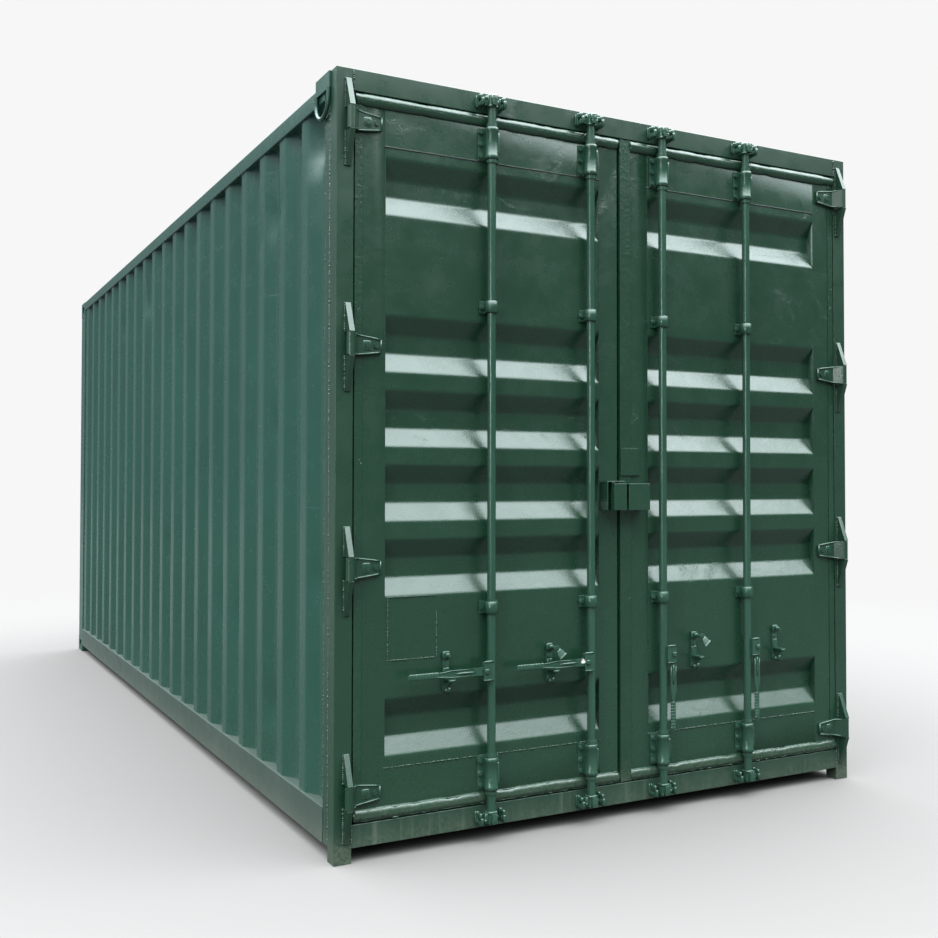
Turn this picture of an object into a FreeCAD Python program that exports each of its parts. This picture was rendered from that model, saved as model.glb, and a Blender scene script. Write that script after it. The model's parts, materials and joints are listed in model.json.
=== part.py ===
"""Steel shipping container: a used twenty foot box with a fabricated door end.

Millimetres, +Z up, floor at Z = 0.  The doors face -Y and the blind end faces +Y.
Everything is drawn with the front plane of the door end at Y = 0 and is moved on
export, so that the origin ends up at the bottom centre of the whole object.
"""
import FreeCAD, Part
import os
from FreeCAD import Vector as V

os.makedirs("parts", exist_ok=True)

# ---------------------------------------------------------------- overall sizes
LENGTH = 6058.0            # front plane of the door end to the rear castings
WIDTH = 2438.0             # over the posts
FRAME_TOP = 2815.0         # top of the door-end frame, feet included
RAIL_TOP = 2787.0          # top of the side top rails
RAIL_BOTTOM = 50.0         # underside of the side bottom rails

# ---------------------------------------------------------------- door-end frame
POST_WIDTH = 66.0
POST_DEPTH = 66.0
POST_WALL = 5.0
FOOT_HEIGHT = 53.0         # how far the post feet reach below the sill
SILL_HEIGHT = 82.0
HEADER_HEIGHT = 79.0
STOP_DEPTH = 54.0          # inner door-stop members, behind the leaves
STOP_LAP = 48.0            # how far they reach into the opening past the posts
STOP_WALL = 4.0
STOP_INSET = 2.0           # stop members behind the outer face of the posts

# ---------------------------------------------------------------- rear frame
CASTING_LENGTH = 178.0
CASTING_WIDTH = 162.0
CASTING_HEIGHT = 118.0
CASTING_WALL = 14.0
CASTING_RISE = 6.0         # castings stand above the top rails
SLOT_LENGTH = 124.0        # top and bottom casting apertures
SLOT_WIDTH = 63.5
SIDE_HOLE_WIDTH = 79.0     # end and side casting apertures
SIDE_HOLE_HEIGHT = 51.0
REAR_INSET = 2.0           # posts, rails and sheet behind the casting faces
REAR_POST_WIDTH = 130.0
REAR_POST_WALL = 6.0
REAR_RAIL = 62.0
REAR_RAIL_WALL = 4.0
REAR_SILL_HEIGHT = 104.0

# ---------------------------------------------------------------- rails, walls, floor
TOP_RAIL = 62.0
TOP_RAIL_WALL = 4.0
BOTTOM_RAIL_HEIGHT = 128.0
BOTTOM_RAIL_FLANGE = 50.0
BOTTOM_RAIL_WALL = 5.0
SHEET = 2.0                # wall, roof and door sheet
WALL_INSET = 8.0           # wall face behind the rail face
WALL_COUNT = 20            # recesses along a side wall
WALL_PITCH = 285.0
WALL_SLOPE = 68.0
WALL_FLAT = 74.0           # outer flat between two recesses
WALL_DEPTH = 36.0
WALL_FIRST = 128.0         # front plane to the first recess
END_COUNT = 8
END_PITCH = 262.0
END_SLOPE = 30.0
END_FLAT = 100.0
END_DEPTH = 44.0
ROOF_PITCH = 209.0
ROOF_SLOPE = 14.0
ROOF_FLAT = 91.0
ROOF_DEPTH = 20.0
ROOF_INSET = 3.0           # roof ridges below the top of the rails
BOARD = 28.0
FLOOR_TOP = 172.0
JOIST_COUNT = 18
JOIST_WIDTH = 45.0
JOIST_WALL = 4.0
JOIST_DROP = 5.0           # underside of the cross members above the rail bottom

# ---------------------------------------------------------------- doors
DOOR_FACE = 4.0            # leaf face behind the front plane
LEAF_DEPTH = 56.0
STILE = 88.0
DOOR_RAIL = 142.0
DOOR_TUBE_WALL = 4.0
SEAL_GAP = 5.0             # seal to frame, all round
SEAL_BEAD = 36.0           # fat bead at the head and the foot of each leaf
SEAL_SIDE = 30.0           # flatter strip at the hinge side
SEAL_LIP = 51.0            # strip that closes the seam, on the right leaf
SEAL_PROUD = 13.0          # bead in front of the leaf face
LIP_PROUD = 6.0            # strip over the seam in front of the leaf face
STRIP_PROUD = 2.0          # flatter strips in front of the leaf face
SEAL_BACK = 46.0
LEFT_EDGE = -28.0          # free edge of the left leaf
RIGHT_EDGE = -18.0         # free edge of the right leaf's seal lip
RECESS_PITCH = 270.0
RECESS_SLOPE = 69.0
RECESS_FLOOR = 67.0
RECESS_DEPTH = 36.0
RECESS_AT = (-975.0, -405.0, -135.0, 135.0, 405.0, 975.0)   # from the leaf's middle

# ---------------------------------------------------------------- hinges
PIN_IN = 44.0              # pin axis in from the outer face of the post
PIN_OUT = 35.0             # pin axis in front of the front plane
PIN_RADIUS = 8.0
KNUCKLE_RADIUS = 15.0
KNUCKLE_HEIGHT = 80.0
PIN_PLAY = 0.5
KNUCKLE_GAP = 1.5
LUG_WIDTH = 20.0
LUG_UPPER = 107.0
LUG_LOWER = 125.0
LUG_TIP = 6.0
BLADE_WALL = 9.0
BLADE_REACH = 128.0        # knuckle axis to the end of the blade
BLADE_TIP = 50.0
BLADE_CLEAR = 1.5          # blade to the seal strip that it passes over
HINGE_AT = (-1197.0, -400.0, 392.0, 1193.0)                 # from the leaf's middle

# ---------------------------------------------------------------- lock rods
ROD_OUT = 28.0             # rod axis in front of the front plane
ROD_RADIUS = 16.5
ROD_AT = (174.0, 615.0)    # each side of the middle
ROD_PLAY = 1.0
BEARING_RADIUS = 21.5
BEARING_LENGTH = 122.0
BEARING_OFF = 1181.0       # bearing middle above and below the leaf's middle
BEARING_FLANGE = 88.0
STRAP_LENGTH = 46.0
STRAP_OFF = 563.0
STRAP_FLANGE = 74.0
FLANGE_WALL = 6.0
COLLAR_HEIGHT = 13.0
COLLAR_RADIUS = 21.0
COLLAR_GAP = 1.5
CAM_RADIUS = 20.0
CAM_CLAW = 33.0
CAM_WIDTH = 20.0
CAM_HEIGHT = 36.0
CAM_END = 12.0             # rod end beyond the cam
KEEPER_GAP = 8.0
KEEPER_WALL = 12.0
KEEPER_HEIGHT = 52.0
KEEPER_DEPTH = 52.0
KEEPER_INSET = 14.0        # keepers below the top of the header and above the sill foot

# ---------------------------------------------------------------- handles
HANDLE_DROP = 795.0        # handle pivots below the leaf's middle
PIVOT_SIDE = 34.0          # pivot beside the rod axis
HANDLE_OUT = 48.0          # middle of the handle bar in front of the front plane
HANDLE_WALL = 8.0
HANDLE_LENGTH = 312.0
HANDLE_HEEL = 16.0         # half widths along the bar
HANDLE_WAIST = 13.0
HANDLE_GRIP = 8.0
HUB_WALL = 4.5
HUB_HEIGHT = 68.0
HUB_GAP = 1.5
HUB_PAST = 11.0            # hub plates past the pivot, beyond the handle's heel
PIVOT_RADIUS = 7.0
PIVOT_PLAY = 0.5
RIVET_HEAD = 4.0
CATCH_SIDE = 175.0         # retainers beside the rod axis
RETAINER_WIDTH = 26.0
RETAINER_UP = 75.0
RETAINER_DOWN = 68.0
LEDGE_WALL = 6.0
LEDGE_GAP = 5.0
LEDGE_REACH = 60.0
STUD_UP = 64.0
STUD_RADIUS = 6.0
STUD_SHORT = 36.0
STUD_PAST = 4.0            # long stud in front of the catch it carries
CATCH_WALL = 5.0
CATCH_OUT = 61.0           # middle of the swing catch in front of the front plane
CATCH_LENGTH = 44.0
CATCH_WIDTH = 32.0
CATCH_LEAN = 50.0          # below the horizontal, both catches to the right
CATCH_BOSS = 12.0
CATCH_PLAY = 0.5

# ---------------------------------------------------------------- lock box, plates, eyes
BOX_LOW = 1229.0
BOX_HIGH = 1345.0
BOX_WALL = 5.0
BOX_OUT = 66.0
BOX_RIGHT = 84.0
BOX_FRONT_LEFT = -89.0
BOX_SIDE_LEFT = -112.0
BOX_SIDE_OUT = 52.0
COVER_LOW = 1368.0
COVER_HIGH = 1478.0
COVER_RIGHT = 78.0
COVER_WALL = 6.0
EYE_BAR = 8.0              # radius of the bar
EYE_FRONT = 62.0           # front leg of the U, behind the front plane
EYE_WIDTH = 132.0
EYE_DROP = 96.0
EYE_PLATE = 8.0
EYE_PLATE_HEIGHT = 60.0
EYE_PLATE_RISE = 26.0

# ---------------------------------------------------------------- derived places
HALF = WIDTH / 2
FRONT_REACH = CATCH_OUT + CATCH_WALL / 2 + STUD_PAST
Y_SHIFT = -(LENGTH - FRONT_REACH) / 2
POST_IN = HALF - POST_WIDTH                    # opening, each side of the middle
STOP_IN = POST_IN - STOP_LAP
SILL_TOP = FOOT_HEIGHT + SILL_HEIGHT
HEADER_BOTTOM = FRAME_TOP - HEADER_HEIGHT
LEAF_MIDDLE = (SILL_TOP + HEADER_BOTTOM) / 2
LEAF_TOP = HEADER_BOTTOM - SEAL_GAP - SEAL_BEAD
LEAF_BOTTOM = SILL_TOP + SEAL_GAP + SEAL_BEAD
LEAF_OUT = POST_IN - SEAL_GAP - SEAL_SIDE      # outer edge of the stiles
RIGHT_STILE = RIGHT_EDGE + SEAL_LIP            # free edge of the right leaf's stile
STOP_BACK = POST_DEPTH + STOP_DEPTH
STOP_TOP = HEADER_BOTTOM - STOP_LAP
WALL_FACE = HALF - WALL_INSET
RAIL_IN = HALF - TOP_RAIL
CASTING_TOP = RAIL_TOP + CASTING_RISE
CASTING_FRONT = LENGTH - CASTING_LENGTH
CASTING_IN = HALF - CASTING_WIDTH
PIN_X = HALF - PIN_IN
HANDLE_Z = LEAF_MIDDLE - HANDLE_DROP
ROD_LOW = FOOT_HEIGHT + KEEPER_INSET + KEEPER_HEIGHT / 2
ROD_HIGH = FRAME_TOP - KEEPER_INSET - KEEPER_HEIGHT / 2


# ---------------------------------------------------------------- helpers
def save(name, solids):
    """Move the solids to the object's own origin and write them as one node."""
    shape = Part.makeCompound(solids) if len(solids) > 1 else solids[0]
    shape = shape.copy()
    shape.translate(V(0, Y_SHIFT, 0))
    shape.exportStep("parts/" + name + ".step")


def block(x0, x1, y0, y1, z0, z1):
    """Box between two corners, given in any order."""
    low = V(min(x0, x1), min(y0, y1), min(z0, z1))
    return Part.makeBox(abs(x1 - x0), abs(y1 - y0), abs(z1 - z0), low)


def prism(points, direction):
    """Polygon of 3-D points pushed along a vector."""
    wire = Part.makePolygon(points + [points[0]])
    return Part.Face(wire).extrude(direction)


def rod(radius, x, y, z0, z1):
    """Upright cylinder."""
    return Part.makeCylinder(radius, z1 - z0, V(x, y, z0))


def tube_z(x0, x1, y0, y1, z0, z1, wall):
    """Rectangular tube, upright, open at both ends."""
    core = block(min(x0, x1) + wall, max(x0, x1) - wall, y0 + wall, y1 - wall, z0, z1)
    return block(x0, x1, y0, y1, z0, z1).cut(core)


def tube_x(x0, x1, y0, y1, z0, z1, wall):
    """Rectangular tube across the object, open at both ends."""
    core = block(x0, x1, y0 + wall, y1 - wall, z0 + wall, z1 - wall)
    return block(x0, x1, y0, y1, z0, z1).cut(core)


def tube_y(x0, x1, y0, y1, z0, z1, wall):
    """Rectangular tube along the object, open at both ends."""
    core = block(min(x0, x1) + wall, max(x0, x1) - wall, y0, y1, z0 + wall, z1 - wall)
    return block(x0, x1, y0, y1, z0, z1).cut(core)


def pressed(start, end, first, count, pitch, slope, flat, depth):
    """Outline of pressed sheet as (along, in) pairs: count recesses of one depth."""
    line = [(start, 0.0)]
    for index in range(count):
        at = first + index * pitch
        line.append((at, 0.0))
        line.append((at + slope, depth))
        line.append((at + pitch - flat - slope, depth))
        line.append((at + pitch - flat, 0.0))
    line.append((end, 0.0))
    return line


def thicken(line, wall):
    """Close an open outline with the same outline set back by the wall, along 'in'."""
    back = [(along, deep + wall) for along, deep in reversed(line)]
    return line + back


def mirrored(shape):
    """The same piece on the other side of the middle plane."""
    return shape.mirror(V(0, 0, 0), V(1, 0, 0))


# ---------------------------------------------------------------- door-end frame
def front_posts():
    left = tube_z(-HALF, -POST_IN, 0, POST_DEPTH, 0, FRAME_TOP, POST_WALL)
    return [left, mirrored(left)]


def cross_tube(z0, z1):
    return tube_x(-POST_IN, POST_IN, 0, POST_DEPTH, z0, z1, POST_WALL)


def door_stops():
    """Inner uprights that the seals close against; they carry the side walls too."""
    left = tube_z(-HALF + STOP_INSET, -STOP_IN, POST_DEPTH, STOP_BACK,
                  RAIL_BOTTOM, RAIL_TOP, STOP_WALL)
    return [left, mirrored(left)]


def stop_beam(z0, z1):
    return tube_x(-STOP_IN, STOP_IN, POST_DEPTH, STOP_BACK, z0, z1, STOP_WALL)


# ---------------------------------------------------------------- rear frame
def casting(side, bottom):
    """Hollow corner casting with its top or bottom slot, end hole and side hole."""
    x0, x1 = side * CASTING_IN, side * HALF
    z0 = 0.0 if bottom else CASTING_TOP - CASTING_HEIGHT
    z1 = z0 + CASTING_HEIGHT
    wall = CASTING_WALL
    shape = block(x0, x1, CASTING_FRONT, LENGTH, z0, z1)
    core = block(min(x0, x1) + wall, max(x0, x1) - wall,
                 CASTING_FRONT + wall, LENGTH - wall, z0 + wall, z1 - wall)
    shape = shape.cut(core)
    xm = (x0 + x1) / 2
    ym = (CASTING_FRONT + LENGTH) / 2
    zm = (z0 + z1) / 2
    z_slot = (z0 - 1, z0 + wall + 1) if bottom else (z1 - wall - 1, z1 + 1)
    end_r = SLOT_WIDTH / 2
    run = SLOT_LENGTH / 2 - end_r
    slot = block(xm - end_r, xm + end_r, ym - run, ym + run, z_slot[0], z_slot[1])
    slot = slot.fuse(rod(end_r, xm, ym - run, z_slot[0], z_slot[1]))
    slot = slot.fuse(rod(end_r, xm, ym + run, z_slot[0], z_slot[1]))
    end = block(xm - SIDE_HOLE_WIDTH / 2, xm + SIDE_HOLE_WIDTH / 2,
                LENGTH - wall - 1, LENGTH + 1,
                zm - SIDE_HOLE_HEIGHT / 2, zm + SIDE_HOLE_HEIGHT / 2)
    flank = block(x1 - side * (wall + 1), x1 + side,
                  ym - SIDE_HOLE_WIDTH / 2, ym + SIDE_HOLE_WIDTH / 2,
                  zm - SIDE_HOLE_HEIGHT / 2, zm + SIDE_HOLE_HEIGHT / 2)
    return shape.cut(slot).cut(end).cut(flank)


def rear_castings():
    return [casting(side, bottom) for side in (-1, 1) for bottom in (True, False)]


def rear_posts():
    left = tube_z(-HALF + REAR_INSET, -HALF + REAR_INSET + REAR_POST_WIDTH,
                  CASTING_FRONT, LENGTH - REAR_INSET,
                  CASTING_HEIGHT, CASTING_TOP - CASTING_HEIGHT, REAR_POST_WALL)
    return [left, mirrored(left)]


def rear_rails():
    """Header between the top castings and sill between the bottom ones."""
    y0, y1 = LENGTH - REAR_INSET - REAR_RAIL, LENGTH - REAR_INSET
    head = tube_x(-CASTING_IN, CASTING_IN, y0, y1,
                  RAIL_TOP - REAR_RAIL, RAIL_TOP, REAR_RAIL_WALL)
    sill_low = FLOOR_TOP - BOARD - REAR_SILL_HEIGHT
    sill = tube_x(-CASTING_IN, CASTING_IN, y0, y1,
                  sill_low, sill_low + REAR_SILL_HEIGHT, REAR_RAIL_WALL)
    return [head, sill]


# ---------------------------------------------------------------- rails
def top_rails():
    left = tube_y(-HALF, -RAIL_IN, STOP_BACK, CASTING_FRONT,
                  RAIL_TOP - TOP_RAIL, RAIL_TOP, TOP_RAIL_WALL)
    return [left, mirrored(left)]


def bottom_rails():
    """Channels with the web outside and both flanges turned in."""
    z0, z1 = RAIL_BOTTOM, RAIL_BOTTOM + BOTTOM_RAIL_HEIGHT
    wall = BOTTOM_RAIL_WALL
    channel = block(-HALF, -HALF + BOTTOM_RAIL_FLANGE, STOP_BACK, CASTING_FRONT, z0, z1)
    hollow = block(-HALF + wall, -HALF + BOTTOM_RAIL_FLANGE,
                   STOP_BACK, CASTING_FRONT, z0 + wall, z1 - wall)
    left = channel.cut(hollow)
    return [left, mirrored(left)]


# ---------------------------------------------------------------- sheet panels
def side_wall(side):
    line = pressed(STOP_BACK, CASTING_FRONT, WALL_FIRST, WALL_COUNT,
                   WALL_PITCH, WALL_SLOPE, WALL_FLAT, WALL_DEPTH)
    z0 = RAIL_BOTTOM + BOTTOM_RAIL_HEIGHT
    z1 = RAIL_TOP - TOP_RAIL
    points = [V(side * (WALL_FACE - deep), along, z0) for along, deep in thicken(line, SHEET)]
    return prism(points, V(0, 0, z1 - z0))


def end_wall():
    half = HALF - REAR_INSET - REAR_POST_WIDTH
    span = (END_COUNT - 1) * END_PITCH + (END_PITCH - END_FLAT)
    line = pressed(-half, half, -span / 2, END_COUNT,
                   END_PITCH, END_SLOPE, END_FLAT, END_DEPTH)
    z0 = FLOOR_TOP - BOARD
    z1 = RAIL_TOP - REAR_RAIL
    face = LENGTH - REAR_INSET - 2 * SHEET
    points = [V(along, face - deep, z0) for along, deep in thicken(line, SHEET)]
    sheet = prism(points, V(0, 0, z1 - z0))
    for x in (-half, CASTING_IN):
        notch = block(x, x + half - CASTING_IN, CASTING_FRONT, LENGTH,
                      CASTING_TOP - CASTING_HEIGHT, CASTING_TOP)
        sheet = sheet.cut(notch)
    return sheet


def roof_panel():
    y0, y1 = STOP_BACK, LENGTH - REAR_INSET - REAR_RAIL
    count = int((y1 - y0 - ROOF_FLAT) // ROOF_PITCH)
    first = y0 + ((y1 - y0) - count * ROOF_PITCH + ROOF_FLAT) / 2
    line = pressed(y0, y1, first, count, ROOF_PITCH, ROOF_SLOPE, ROOF_FLAT, ROOF_DEPTH)
    top = RAIL_TOP - ROOF_INSET
    points = [V(-RAIL_IN, along, top - deep) for along, deep in thicken(line, SHEET)]
    main = prism(points, V(2 * RAIL_IN, 0, 0))
    for side in (-1, 1):
        notch = block(side * CASTING_IN, side * HALF, CASTING_FRONT, LENGTH, 0, FRAME_TOP)
        main = main.cut(notch)
    return main


# ---------------------------------------------------------------- floor
def floor_boards():
    """Plywood deck on the cross members, notched round the rear castings and posts."""
    half = HALF - WALL_INSET - WALL_DEPTH - 2 * SHEET
    back = LENGTH - REAR_INSET - 2 * SHEET - END_DEPTH - SHEET
    deck = block(-half, half, STOP_BACK, back, FLOOR_TOP - BOARD, FLOOR_TOP)
    for side in (-1, 1):
        deck = deck.cut(block(side * CASTING_IN, side * HALF, CASTING_FRONT, LENGTH,
                              0, FRAME_TOP))
        lap = block(side * (HALF - BOTTOM_RAIL_FLANGE), side * HALF, 0, LENGTH,
                    0, RAIL_BOTTOM + BOTTOM_RAIL_HEIGHT)
        deck = deck.cut(lap)
    return [deck]


def cross_members():
    """C-section joists between the webs of the bottom rails."""
    z0 = RAIL_BOTTOM + BOTTOM_RAIL_WALL + JOIST_DROP
    z1 = FLOOR_TOP - BOARD
    half = HALF - BOTTOM_RAIL_FLANGE
    pitch = (CASTING_FRONT - STOP_BACK - JOIST_WIDTH) / (JOIST_COUNT + 1)
    solids = []
    for index in range(JOIST_COUNT):
        y0 = STOP_BACK + (index + 1) * pitch
        joist = block(-half, half, y0, y0 + JOIST_WIDTH, z0, z1)
        hollow = block(-half, half, y0 + JOIST_WALL, y0 + JOIST_WIDTH,
                       z0 + JOIST_WALL, z1 - JOIST_WALL)
        solids.append(joist.cut(hollow))
    return solids


# ---------------------------------------------------------------- hinges
def hinge_lug(side, middle):
    """Two tapered fins on the post, joined by the pin that the knuckle turns on."""
    x0 = side * PIN_X - LUG_WIDTH / 2
    front = -(PIN_OUT + KNUCKLE_RADIUS)
    half = KNUCKLE_HEIGHT / 2 + KNUCKLE_GAP
    upper = prism([V(x0, 0, middle + half), V(x0, front, middle + half),
                   V(x0, -LUG_TIP, middle + half + LUG_UPPER), V(x0, 0, middle + half + LUG_UPPER)],
                  V(LUG_WIDTH, 0, 0))
    lower = prism([V(x0, 0, middle - half), V(x0, front, middle - half),
                   V(x0, -LUG_TIP, middle - half - LUG_LOWER), V(x0, 0, middle - half - LUG_LOWER)],
                  V(LUG_WIDTH, 0, 0))
    pin = rod(PIN_RADIUS, side * PIN_X, -PIN_OUT, middle - half - 6, middle + half + 6)
    return upper.fuse(pin).fuse(lower).removeSplitter()


def hinge_lugs():
    return [hinge_lug(side, LEAF_MIDDLE + at) for side in (-1, 1) for at in HINGE_AT]


def hinge_blade(side, middle):
    """Knuckle round the pin and a tapered blade that laps on to the stile."""
    half = KNUCKLE_HEIGHT / 2
    z0 = middle - half
    knuckle = rod(KNUCKLE_RADIUS, side * PIN_X, -PIN_OUT, z0, middle + half)
    out = PIN_X
    face = DOOR_FACE
    over = face - STRIP_PROUD - BLADE_CLEAR
    outline = [(out, -PIN_OUT - KNUCKLE_RADIUS + 1), (out - KNUCKLE_RADIUS + 2, -PIN_OUT - 7),
               (POST_IN - SEAL_GAP - 10, over - BLADE_WALL), (out - BLADE_REACH, face - BLADE_WALL),
               (out - BLADE_REACH, face), (LEAF_OUT - BLADE_CLEAR, face),
               (LEAF_OUT - BLADE_CLEAR, over), (POST_IN - SEAL_GAP, over),
               (out, -PIN_OUT + KNUCKLE_RADIUS - 2)]
    blade = prism([V(side * x, y, z0) for x, y in outline], V(0, 0, KNUCKLE_HEIGHT))
    tip = BLADE_TIP / 2
    taper = prism([V(side * (out + KNUCKLE_RADIUS), -200, middle - half),
                   V(side * (out - KNUCKLE_RADIUS), -200, middle - half),
                   V(side * (out - BLADE_REACH), -200, middle - tip),
                   V(side * (out - BLADE_REACH), -200, middle + tip),
                   V(side * (out - KNUCKLE_RADIUS), -200, middle + half),
                   V(side * (out + KNUCKLE_RADIUS), -200, middle + half)], V(0, 400, 0))
    shape = knuckle.fuse(blade.common(taper))
    bore = rod(PIN_RADIUS + PIN_PLAY, side * PIN_X, -PIN_OUT, z0 - 1, middle + half + 1)
    return shape.cut(bore)


def hinge_blades(side):
    return [hinge_blade(side, LEAF_MIDDLE + at) for at in HINGE_AT]


# ---------------------------------------------------------------- door leaves
def leaf_span(side):
    """Left and right edges of a leaf's frame."""
    return (-LEAF_OUT, LEFT_EDGE) if side < 0 else (RIGHT_STILE, LEAF_OUT)


def door_frame(side):
    """Two upright tubes and two cross tubes."""
    x0, x1 = leaf_span(side)
    y0, y1 = DOOR_FACE, DOOR_FACE + LEAF_DEPTH
    wall = DOOR_TUBE_WALL
    return [tube_z(x0, x0 + STILE, y0, y1, LEAF_BOTTOM, LEAF_TOP, wall),
            tube_z(x1 - STILE, x1, y0, y1, LEAF_BOTTOM, LEAF_TOP, wall),
            tube_x(x0 + STILE, x1 - STILE, y0, y1, LEAF_TOP - DOOR_RAIL, LEAF_TOP, wall),
            tube_x(x0 + STILE, x1 - STILE, y0, y1, LEAF_BOTTOM, LEAF_BOTTOM + DOOR_RAIL, wall)]


def door_panel(side):
    """Sheet with six pressed recesses that run across the leaf."""
    x0, x1 = leaf_span(side)
    half = RECESS_FLOOR / 2
    line = [(LEAF_BOTTOM + DOOR_RAIL, 0.0)]
    for at in RECESS_AT:
        middle = LEAF_MIDDLE + at
        line.append((middle - half - RECESS_SLOPE, 0.0))
        line.append((middle - half, RECESS_DEPTH))
        line.append((middle + half, RECESS_DEPTH))
        line.append((middle + half + RECESS_SLOPE, 0.0))
    line.append((LEAF_TOP - DOOR_RAIL, 0.0))
    points = [V(x0 + STILE, DOOR_FACE + deep, along) for along, deep in thicken(line, SHEET)]
    return prism(points, V(x1 - x0 - 2 * STILE, 0, 0))


def bead(x0, x1, z0, z1):
    """Seal across a leaf: round in front, square behind."""
    front = DOOR_FACE - SEAL_PROUD
    radius = (z1 - z0) / 2
    back = DOOR_FACE + SEAL_BACK
    middle = (z0 + z1) / 2
    arc = Part.Arc(V(x0, front + radius, z0), V(x0, front, middle),
                   V(x0, front + radius, z1)).toShape()
    sides = Part.makePolygon([V(x0, front + radius, z1), V(x0, back, z1),
                              V(x0, back, z0), V(x0, front + radius, z0)])
    return Part.Face(Part.Wire([arc] + sides.Edges)).extrude(V(x1 - x0, 0, 0))


def door_seal(side):
    x0, x1 = leaf_span(side)
    edge = POST_IN - SEAL_GAP
    low, high = SILL_TOP + SEAL_GAP, HEADER_BOTTOM - SEAL_GAP
    left, right = (-edge, x1) if side < 0 else (x0, edge)
    head = bead(left, right, LEAF_TOP, high)
    foot = bead(left, right, low, LEAF_BOTTOM)
    strip = block(side * LEAF_OUT, side * edge, DOOR_FACE - STRIP_PROUD, DOOR_FACE + SEAL_BACK,
                  LEAF_BOTTOM, LEAF_TOP)
    solids = [head, foot, strip]
    if side > 0:
        lip = block(RIGHT_EDGE, RIGHT_STILE, DOOR_FACE - LIP_PROUD,
                    DOOR_FACE + SEAL_BACK, low, high)
        solids.append(lip)
    return solids


# ---------------------------------------------------------------- lock rods
def saddle(x, middle, length, flange):
    """Bracket on the leaf face with a bore that the rod turns in."""
    z0, z1 = middle - length / 2, middle + length / 2
    plate_y = DOOR_FACE - FLANGE_WALL
    shape = rod(BEARING_RADIUS, x, -ROD_OUT, z0, z1)
    shape = shape.fuse(block(x - BEARING_RADIUS + 4, x + BEARING_RADIUS - 4,
                             -ROD_OUT, plate_y, z0, z1))
    shape = shape.fuse(block(x - flange / 2, x + flange / 2, plate_y, DOOR_FACE, z0, z1))
    return shape.cut(rod(ROD_RADIUS + ROD_PLAY, x, -ROD_OUT, z0 - 1, z1 + 1))


def rod_brackets(side):
    solids = []
    for at in ROD_AT:
        x = side * at
        for sign in (-1, 1):
            solids.append(saddle(x, LEAF_MIDDLE + sign * BEARING_OFF,
                                 BEARING_LENGTH, BEARING_FLANGE))
            solids.append(saddle(x, LEAF_MIDDLE + sign * STRAP_OFF,
                                 STRAP_LENGTH, STRAP_FLANGE))
    return solids


def cam(side, x, middle):
    """Claw head: a round boss, one claw to the handle's side and one to the front."""
    z0, z1 = middle - CAM_HEIGHT / 2, middle + CAM_HEIGHT / 2
    half = CAM_WIDTH / 2
    boss = rod(CAM_RADIUS, x, -ROD_OUT, z0, z1)
    claw = block(x, x + side * CAM_CLAW, -ROD_OUT - half, -ROD_OUT + half, z0, z1)
    nose = block(x - half, x + half, -ROD_OUT - CAM_CLAW, -ROD_OUT, z0, z1)
    return boss.fuse(claw).fuse(nose)


def hub(side, x):
    """Clevis at the rod's side that holds the handle between two plates."""
    z0, z1 = HANDLE_Z - HUB_HEIGHT / 2, HANDLE_Z + HUB_HEIGHT / 2
    bar = HANDLE_WALL / 2 + HUB_GAP
    near = x + side * 4
    far = x + side * (PIVOT_SIDE + HUB_PAST)
    front = block(near, far, -HANDLE_OUT - bar - HUB_WALL, -HANDLE_OUT - bar, z0, z1)
    back = block(near, far, -HANDLE_OUT + bar, -HANDLE_OUT + bar + HUB_WALL, z0, z1)
    web = block(near, near + side * HUB_WALL, -HANDLE_OUT - bar - HUB_WALL,
                -HANDLE_OUT + bar + HUB_WALL, z0, z1)
    y_front = -HANDLE_OUT - bar - HUB_WALL - RIVET_HEAD
    pivot = Part.makeCylinder(PIVOT_RADIUS, -HANDLE_OUT + bar + HUB_WALL - y_front,
                              V(x + side * PIVOT_SIDE, y_front, HANDLE_Z), V(0, 1, 0))
    return front.fuse(back).fuse(web).fuse(pivot)


def lock_rod(side, at):
    """Round rod with a cam at each end, collars at the bearings and the handle's hub."""
    x = side * at
    shape = rod(ROD_RADIUS, x, -ROD_OUT, ROD_LOW - CAM_END, ROD_HIGH + CAM_END)
    shape = shape.fuse(cam(side, x, ROD_LOW)).fuse(cam(side, x, ROD_HIGH))
    for sign in (-1, 1):
        middle = LEAF_MIDDLE + sign * BEARING_OFF
        for end in (-1, 1):
            near = middle + end * (BEARING_LENGTH / 2 + COLLAR_GAP)
            low = min(near, near + end * COLLAR_HEIGHT)
            shape = shape.fuse(rod(COLLAR_RADIUS, x, -ROD_OUT, low, low + COLLAR_HEIGHT))
    return shape.fuse(hub(side, x)).removeSplitter()


def cam_keepers():
    """Pairs of cheeks on the header and the sill; each cam turns between two."""
    solids = []
    inner = CAM_CLAW + KEEPER_GAP
    for side in (-1, 1):
        for at in ROD_AT:
            for middle in (ROD_LOW, ROD_HIGH):
                for cheek in (-1, 1):
                    x0 = side * at + cheek * inner
                    solids.append(block(x0, x0 + cheek * KEEPER_WALL, -KEEPER_DEPTH, 0,
                                        middle - KEEPER_HEIGHT / 2, middle + KEEPER_HEIGHT / 2))
    return solids


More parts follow.
